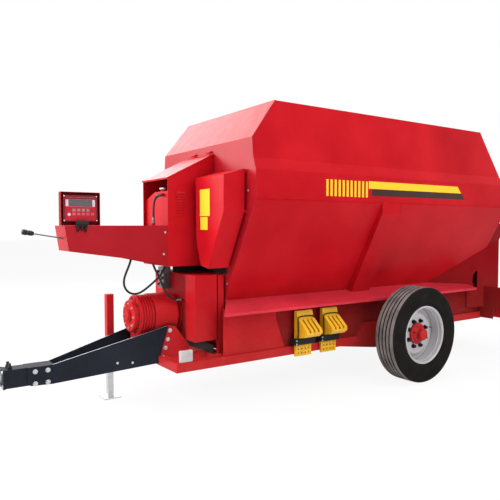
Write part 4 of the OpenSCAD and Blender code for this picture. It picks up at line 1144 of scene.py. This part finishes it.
# Side, its sheet's distance from the middle, and the way it faces.
for side, face, sign in (("left", 207.2, 1), ("right", -339.2, -1)):
    louvre = bmesh.new()
    ends = [[louvre.verts.new(spot(x, face + sign * off, LOUVRE_LOW + up)) for off, up in WEDGE]
            for x in LOUVRE_ENDS]
    for a, b in ((0, 1), (1, 2), (2, 3), (3, 0)):
        louvre.faces.new((ends[0][a], ends[0][b], ends[1][b], ends[1][a]))
    louvre.faces.new(ends[0])
    louvre.faces.new(list(reversed(ends[1])))
    row("louvres_" + side, louvre, LOUVRE_COUNT, (0, 0, LOUVRE_STEP), "wagon", red_paint)

# %% [markdown]
# ## The weighing display
# A dark strip of liquid crystal sits between two pale blocks, above a foil keypad with rows
# of raised keys and a round key to start with. Each is a thin box with softened edges on the
# face of the display, and one key repeated makes a row.

# %% Screen and keypad
FACE = 200.2
PANEL_ENDS = (1156, 1400)
box_piece("screen_strip", [((1180, FACE, 1775), (1376, FACE + 1.6, 1826))],
          screen_glass, soften=0.0006)
box_piece("screen_frame",
          [((x0, FACE, 1774), (x1, FACE + 2.4, 1827)) for x0, x1 in ((1156, 1179), (1377, 1400))],
          plate_white, soften=0.0008)
box_piece("screen_bars",
          [((PANEL_ENDS[0], FACE, z0), (PANEL_ENDS[1], FACE + 2.0, z1))
           for z0, z1 in ((1828, 1832), (1767, 1773), (1846, 1849))],
          key_pink, soften=0.0006)
box_piece("keypad_foil", [((1150, FACE, 1658), (1404, FACE + 1.2, 1764))],
          key_red, soften=0.0005)

# %% Keys and screws
PAD_FACE = FACE + 1.2
KEY_RISE = 1.8
KEY_WIDTH = 27
KEY_HEIGHT = 23
KEY_STEP = 38.5
KEY_ROW_LOW = 1667
KEY_ROW_STEP = 32
# Row from below, finish, left edge of the first key, and number of keys.
KEY_ROWS = ((0, key_red, 1165, 5), (1, key_pink, 1165, 5), (2, key_grey, 1203, 4))
for level, finish, first, count in KEY_ROWS:
    one = bmesh.new()
    low = KEY_ROW_LOW + KEY_ROW_STEP * level
    add_box(one, spot(first, PAD_FACE, low),
            spot(first + KEY_WIDTH, PAD_FACE + KEY_RISE, low + KEY_HEIGHT), soften=0.0008)
    row(f"keys_{level}", one, count, (KEY_STEP, 0, 0), "wagon", finish)
turned("start_key", [(13, -1), (13, 2.4), (11, 3.6), (0, 3.6)], spot(1372, PAD_FACE, 1706),
       (0, 1, 0), "wagon", plate_white, steps=24)
bolts("display_screws", [spot(x, FACE + 0.3, z) for x in (1142, 1412) for z in (1657, 1858)],
      (0, 1, 0), "wagon", galvanised, radius=4, height=2.5)

# %% [markdown]
# A black shelf hangs below the display's housing, and the round plugs of the weighing
# cables are pushed into it from below. A plug is a turned shape with a ribbed nut.

# %% Plugs under the display
PLUG_PROFILE = [(0, 0), (7, 0), (9, 3), (9, 22), (12, 24), (12, 30), (10.5, 31), (10.5, 34),
                (12, 35), (12, 41), (10.5, 42), (10.5, 45), (12, 46), (12, 54), (14, 55),
                (14, 64), (0, 64)]
PLUG_ACROSS = 222
# How far forward and how high each plug's lower end is.
PLUGS = ((1242, 1560), (1274, 1572), (1306, 1564))
for k, (x, z) in enumerate(PLUGS):
    turned(f"weigh_plug_{k}", PLUG_PROFILE, spot(x, PLUG_ACROSS, z), (0, 0, 1), "wagon",
           black_plastic, steps=24)
box_piece("plug_shelf", [((1222, 207.2, 1622), (1326, 238, 1650))],
          black_plastic, soften=0.003)

# %% [markdown]
# ## Hose fittings
# A hydraulic hose ends in a crimped ferrule. It is turned with a few grooves, tapers towards
# the hose, and lines up with the hose's first stretch. The ferrules of each hose are kept in a
# list under the hose's name.

# %% Ferrules
FERRULE = [(10.2, 0), (15.5, 0), (15.5, 14), (13, 15), (13, 19), (13.8, 20), (13.8, 25), (13, 26), (13, 29),
           (13.8, 30), (13.8, 35), (13, 36), (13, 42), (12, 50), (10.6, 58), (10.2, 58)]
fittings = {}
for name, line in hose_lines.items():
    fittings[name] = []
    for end, place, ahead in (("top", line[0], line[2]), ("foot", line[-1], line[-3])):
        ferrule = turned(f"ferrule_{name}_{end}", FERRULE, place, ahead - place, "wagon",
                         dark_steel, steps=24)
        fittings[name].append(ferrule)

# %% [markdown]
# ## The oil tank's breather
# The tank is filled through a bright cap with a knurled skirt. The skirt is a ring of small
# ribs, which the row tree cannot do, so a turned cap gets its ribs from the mesh itself.

# %% Breather cap
CAP_RIBS = 36
RIB_REACH = 1.2
# Radius, height, and how far the ribs stand out there, as a share of their reach.
CAP_PROFILE = ((33, 0, 0), (35, 2, 1), (35, 14, 1), (33, 17, 0.5), (26, 19, 0), (12, 20, 0))
CAP_PLACE = spot(400, -60, 1957)
cap = bmesh.new()
cap_rings = []
for radius, lift, rib in CAP_PROFILE:
    ring = []
    for k in range(CAP_RIBS * 2):
        angle = math.pi * k / CAP_RIBS
        reach = (radius + (rib * RIB_REACH if k % 2 else 0)) * MM
        offset = Vector((reach * math.cos(angle), reach * math.sin(angle), lift * MM))
        ring.append(cap.verts.new(CAP_PLACE + offset))
    cap_rings.append(ring)
for a, b in zip(cap_rings, cap_rings[1:]):
    for k in range(CAP_RIBS * 2):
        j = (k + 1) % (CAP_RIBS * 2)
        cap.faces.new((a[k], a[j], b[j], b[k]))
cap.faces.new(list(reversed(cap_rings[0])))
cap.faces.new(cap_rings[-1])
finish_mesh("breather_cap", cap, "wagon", bare_steel)

# %% [markdown]
# ## The gearbox
# Rings of bolts hold its covers, and splines run along its shaft. Points on a circle feed
# the bolt tree.

# %% Rings of bolts


def circle_points(x, y, z, radius, count, start=0.0):
    """Points on a circle across the wagon, at a place from the front wall."""
    return [spot(x, y + radius * math.cos(start + 2 * math.pi * k / count),
                 z + radius * math.sin(start + 2 * math.pi * k / count)) for k in range(count)]


GEAR_AXIS = 790
# Name, face, circle's radius, number of bolts, first angle, finish, head's radius and
# height, and slot.
GEAR_RINGS = (
    ("cover_bolts", 741.4, 158, 12, 0.26, dark_steel, 9, 8, "dark_steel"),
    ("disc_bolts", 786.4, 112, 8, 0.0, galvanised, 8, 7, "galvanised"),
    ("flange_ring", 340.4, 155, 10, 0.31, dark_steel, 9, 8, "dark_steel"),
)
for name, face, circle, count, first, finish, head, height, slot in GEAR_RINGS:
    bolts(name, circle_points(face, 0, GEAR_AXIS, circle, count, first), (1, 0, 0), "wagon",
          finish, head, height)

# %% [markdown]
# A low boss closes the middle of the gearbox cover, and a seal ring sits round the shaft.
# Six splines run along the shaft's end: one box, turned about the shaft six times.

# %% Boss, seal and splines
SHAFT_HEIGHT = 550
SPLINE_START = 790
SPLINES = 6
# Corners of one spline, in metres from its start on the shaft's line.
SPLINE_LOW = (0, -0.0025, 0.0165)
SPLINE_HIGH = (0.052, 0.0025, 0.0195)
turned("cover_boss", [(0, 0), (44, 0), (44, 6), (30, 9), (0, 9)], spot(797.2, 0, GEAR_AXIS),
       (1, 0, 0), "wagon", red_paint)
turned("pto_seal", [(19, 0), (46, 0), (46, 7), (40, 11), (19, 11), (19, 0)],
       spot(725.2, 0, SHAFT_HEIGHT), (1, 0, 0), "wagon", dark_steel)
spline_maker = bmesh.new()
for k in range(SPLINES):
    turn = Matrix.Rotation(2 * math.pi * k / SPLINES, 4, "X")
    made = add_box(spline_maker, SPLINE_LOW, SPLINE_HIGH)
    for vertex in made["verts"]:
        vertex.co = turn @ vertex.co + spot(SPLINE_START, 0, SHAFT_HEIGHT)
finish_mesh("pto_splines", spline_maker, "pto_shaft", bare_steel)

# %% [markdown]
# ## Lamps
# The pale blocks on the frame's front are position lamps with upright ribs on the lens and
# soft corners. The piece stands for the plain block in the model.

# %% Lamps on the frame
LENS_INSIDE = 532
LENS_OUTSIDE = 566
LENS_RIBS = 10
LENS_RIB_STEP = (10, 0, 0)
lens_boxes = []
for side, sign in SIDES:
    y0, y1 = sorted((sign * LENS_INSIDE, sign * LENS_OUTSIDE))
    lens_boxes.append(((430.5, y0, 434), (549.5, y1, 536.5)))
lamps = box_piece("lamp_lenses", lens_boxes, lamp_white, soften=0.009)
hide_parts("front_lamps")
for side, sign in SIDES:
    rib = bmesh.new()
    y0, y1 = sorted((sign * (LENS_OUTSIDE - 0.5), sign * (LENS_OUTSIDE + 1.5)))
    add_box(rib, spot(444, y0, 446), spot(449, y1, 524), soften=0.0008)
    row("lamp_ribs_" + side, rib, LENS_RIBS, LENS_RIB_STEP, "wagon", lamp_white)

# %% [markdown]
# ## Painted shade round the drive case
# A strip of black rubber hangs below the drive case as painted shade, in the dark gap over the
# front cross tube. Above the case, one black sheet lies along the wall and another runs forward
# from the wall, as painted shade behind the guards. Each is a thin box.

# %% Black strip and sheets as painted shade
CASE_HALF = 395
SHADE_SHEET_HALF = 440
SHADE_SHEET_LOW = 1166
box_piece("case_shade_strip", [((118, -CASE_HALF, 424), (124, CASE_HALF, 512))],
          hose_rubber, soften=0.001)
box_piece("case_shade_apron",
          [((3, -SHADE_SHEET_HALF, SHADE_SHEET_LOW), (7, SHADE_SHEET_HALF, 1232)),
           ((8, -34, SHADE_SHEET_LOW), (322, -30, 1238))],
          hose_rubber, soften=0.001)

# %% [markdown]
# ## Wheel chocks
# A black spring wire goes over each chock and hooks into its tray, and two small bolts hold
# the tray to the rail.

# %% Wires over the chocks
CHOCKS = (-780, -1110)
CHOCK_BACK = 588
CHOCK_LOW = 335
WIRE_RADIUS = 6
WIRE_STEPS = 3
# Points of the wire: steps forward from a chock's middle, out from its back, and up.
WIRE = (
    (109, 66, 170), (109, 72, 230), (108, 70, 310), (104, 64, 362), (90, 58, 390), (60, 56, 396),
    (0, 56, 398), (-60, 56, 396), (-90, 58, 390), (-104, 64, 362), (-107, 70, 310),
    (-107, 72, 230), (-107, 66, 170))
for k, x in enumerate(CHOCKS):
    line = smooth_line([spot(x + dx, CHOCK_BACK + dy, CHOCK_LOW + dz) for dx, dy, dz in WIRE],
                       WIRE_STEPS)
    wire = round_tube(f"chock_wire_{k}", line, WIRE_RADIUS * MM)
    wire.data.materials.append(black_plastic)
    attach(wire, "wagon")
bolts("tray_bolts",
      [spot(x + 126, CHOCK_BACK + 71.5, CHOCK_LOW + z) for x in CHOCKS for z in (134, 166)],
      (0, 1, 0), "wagon", galvanised, radius=6, height=5)

# %% [markdown]
# ## Wheels up close
# A valve looks out of the disc, and the hub's cap is ringed by small bolts.

# %% Valves and cap bolts
VALVE_PROFILE = [(0, 0), (9, 0), (9, 6), (5, 8), (5, 30), (6, 31), (6, 42), (0, 42)]
VALVE_BACK = 232
VALVE_UP = 40
VALVE_INSIDE = 30
CAP_CIRCLE = 79
CAP_BOLTS = 6
CAP_FIRST = 15
CAP_FACE = WHEEL_MIDDLE + 38
for side, sign in SIDES:
    valve = spot(-AXLE_BACK - VALVE_BACK, sign * (WHEEL_MIDDLE - VALVE_INSIDE),
                 AXLE_HEIGHT + VALVE_UP)
    turned("tyre_valve_" + side, VALVE_PROFILE, valve, (0, sign, 0), "wheel_" + side,
           black_plastic, steps=16)
    bolts("cap_bolts_" + side, wheel_circle(CAP_CIRCLE, CAP_BOLTS, CAP_FIRST, sign * CAP_FACE),
          (0, sign, 0), "wheel_" + side, dark_steel, radius=7, height=6)

# %% [markdown]
# The disc is pressed separately and welded into the rim. A dark ring where its flange ends is
# painted shade for the crease there, and a small step in the barrel catches the light. Both are
# turned rings, with no caps, so that they don't cover the disc.

# %% Painted shade line and step in the rim
SHADE_LINE_PROFILE = [(281, -26), (277, -26), (276, -24.5), (277, -23), (281, -23), (281, -26)]
STEP_PROFILE = [(279, 55), (272, 58), (270, 64), (272, 70), (279, 74), (279, 55)]
for side, sign in SIDES:
    middle = spot(-AXLE_BACK, sign * WHEEL_MIDDLE, AXLE_HEIGHT)
    # The dark ring is painted shade in the crease at the disc's edge.
    turned("disc_shade_line_" + side, SHADE_LINE_PROFILE, middle, (0, sign, 0), "wheel_" + side,
           dark_steel, steps=72)
    turned("rim_step_" + side, STEP_PROFILE, middle, (0, sign, 0), "wheel_" + side,
           wheel_paint, steps=72)

# %% [markdown]
# ## The lever's grip
# The lever ends in a black grip with a bright collar. It is turned along the lever's own
# line, which points forward and slightly up.

# %% Grip
LEVER_FOOT = spot(1394, 100, 1508)
LEVER_TILT = math.radians(80)
LEVER_WAY = Vector((math.sin(LEVER_TILT), 0, math.cos(LEVER_TILT)))
GRIP_PROFILE = [(6.2, 236), (12, 238), (18, 246), (21, 262), (20, 280), (18, 288), (22, 292),
                (22.6, 310), (21.8, 326), (16, 331.5), (6, 332)]
COLLAR_PROFILE = [(6.2, 226), (10, 226), (10, 237), (6.2, 237), (6.2, 226)]
turned("lever_grip", GRIP_PROFILE, LEVER_FOOT, LEVER_WAY, "wagon", black_plastic,
       steps=32)
turned("lever_collar", COLLAR_PROFILE, LEVER_FOOT, LEVER_WAY, "wagon", galvanised,
       steps=24)

# %% [markdown]
# ## The back of the wagon
# From behind, a bare pale plate sits in the middle of the red board, with a red triangle of
# reflecting foil at each end. The upper bearings and the cover are bolted on.

# %% Plate and reflectors on the board
BOARD_BACK = -4045
REFLECTOR_CORNERS = ((620, 430), (760, 430), (690, 551))
box_piece("blank_plate", [((BOARD_BACK - 0.5, -260, 436), (BOARD_BACK + 1, 260, 544))],
          plate_white)
for side, sign in SIDES:
    outline = [(BOARD_BACK, sign * y, z) for y, z in REFLECTOR_CORNERS]
    plate_piece("reflector_" + side, [outline], (-1, 0, 0), reflector_red,
                thickness=0.5)

# %% Bolts on the upper bearings and the cover
COVER_BACK = -3996.4
COVER_BOLTS = ([(-620, 640), (620, 640)]
               + [(y, 1585) for y in (-560, -280, 0, 280, 560)]
               + [(y, 610) for y in (-420, -140, 140, 420)])
for side, sign in SIDES:
    bolts("bearing_bolts_" + side, circle_points(-3821.4, sign * 519, 1790, 73, 6, 0.5),
          (-1, 0, 0), "wagon", galvanised, radius=9, height=7)
bolts("cover_plate_bolts", [spot(COVER_BACK, y, z) for y, z in COVER_BOLTS],
      (-1, 0, 0), "wagon", galvanised, radius=8, height=6)
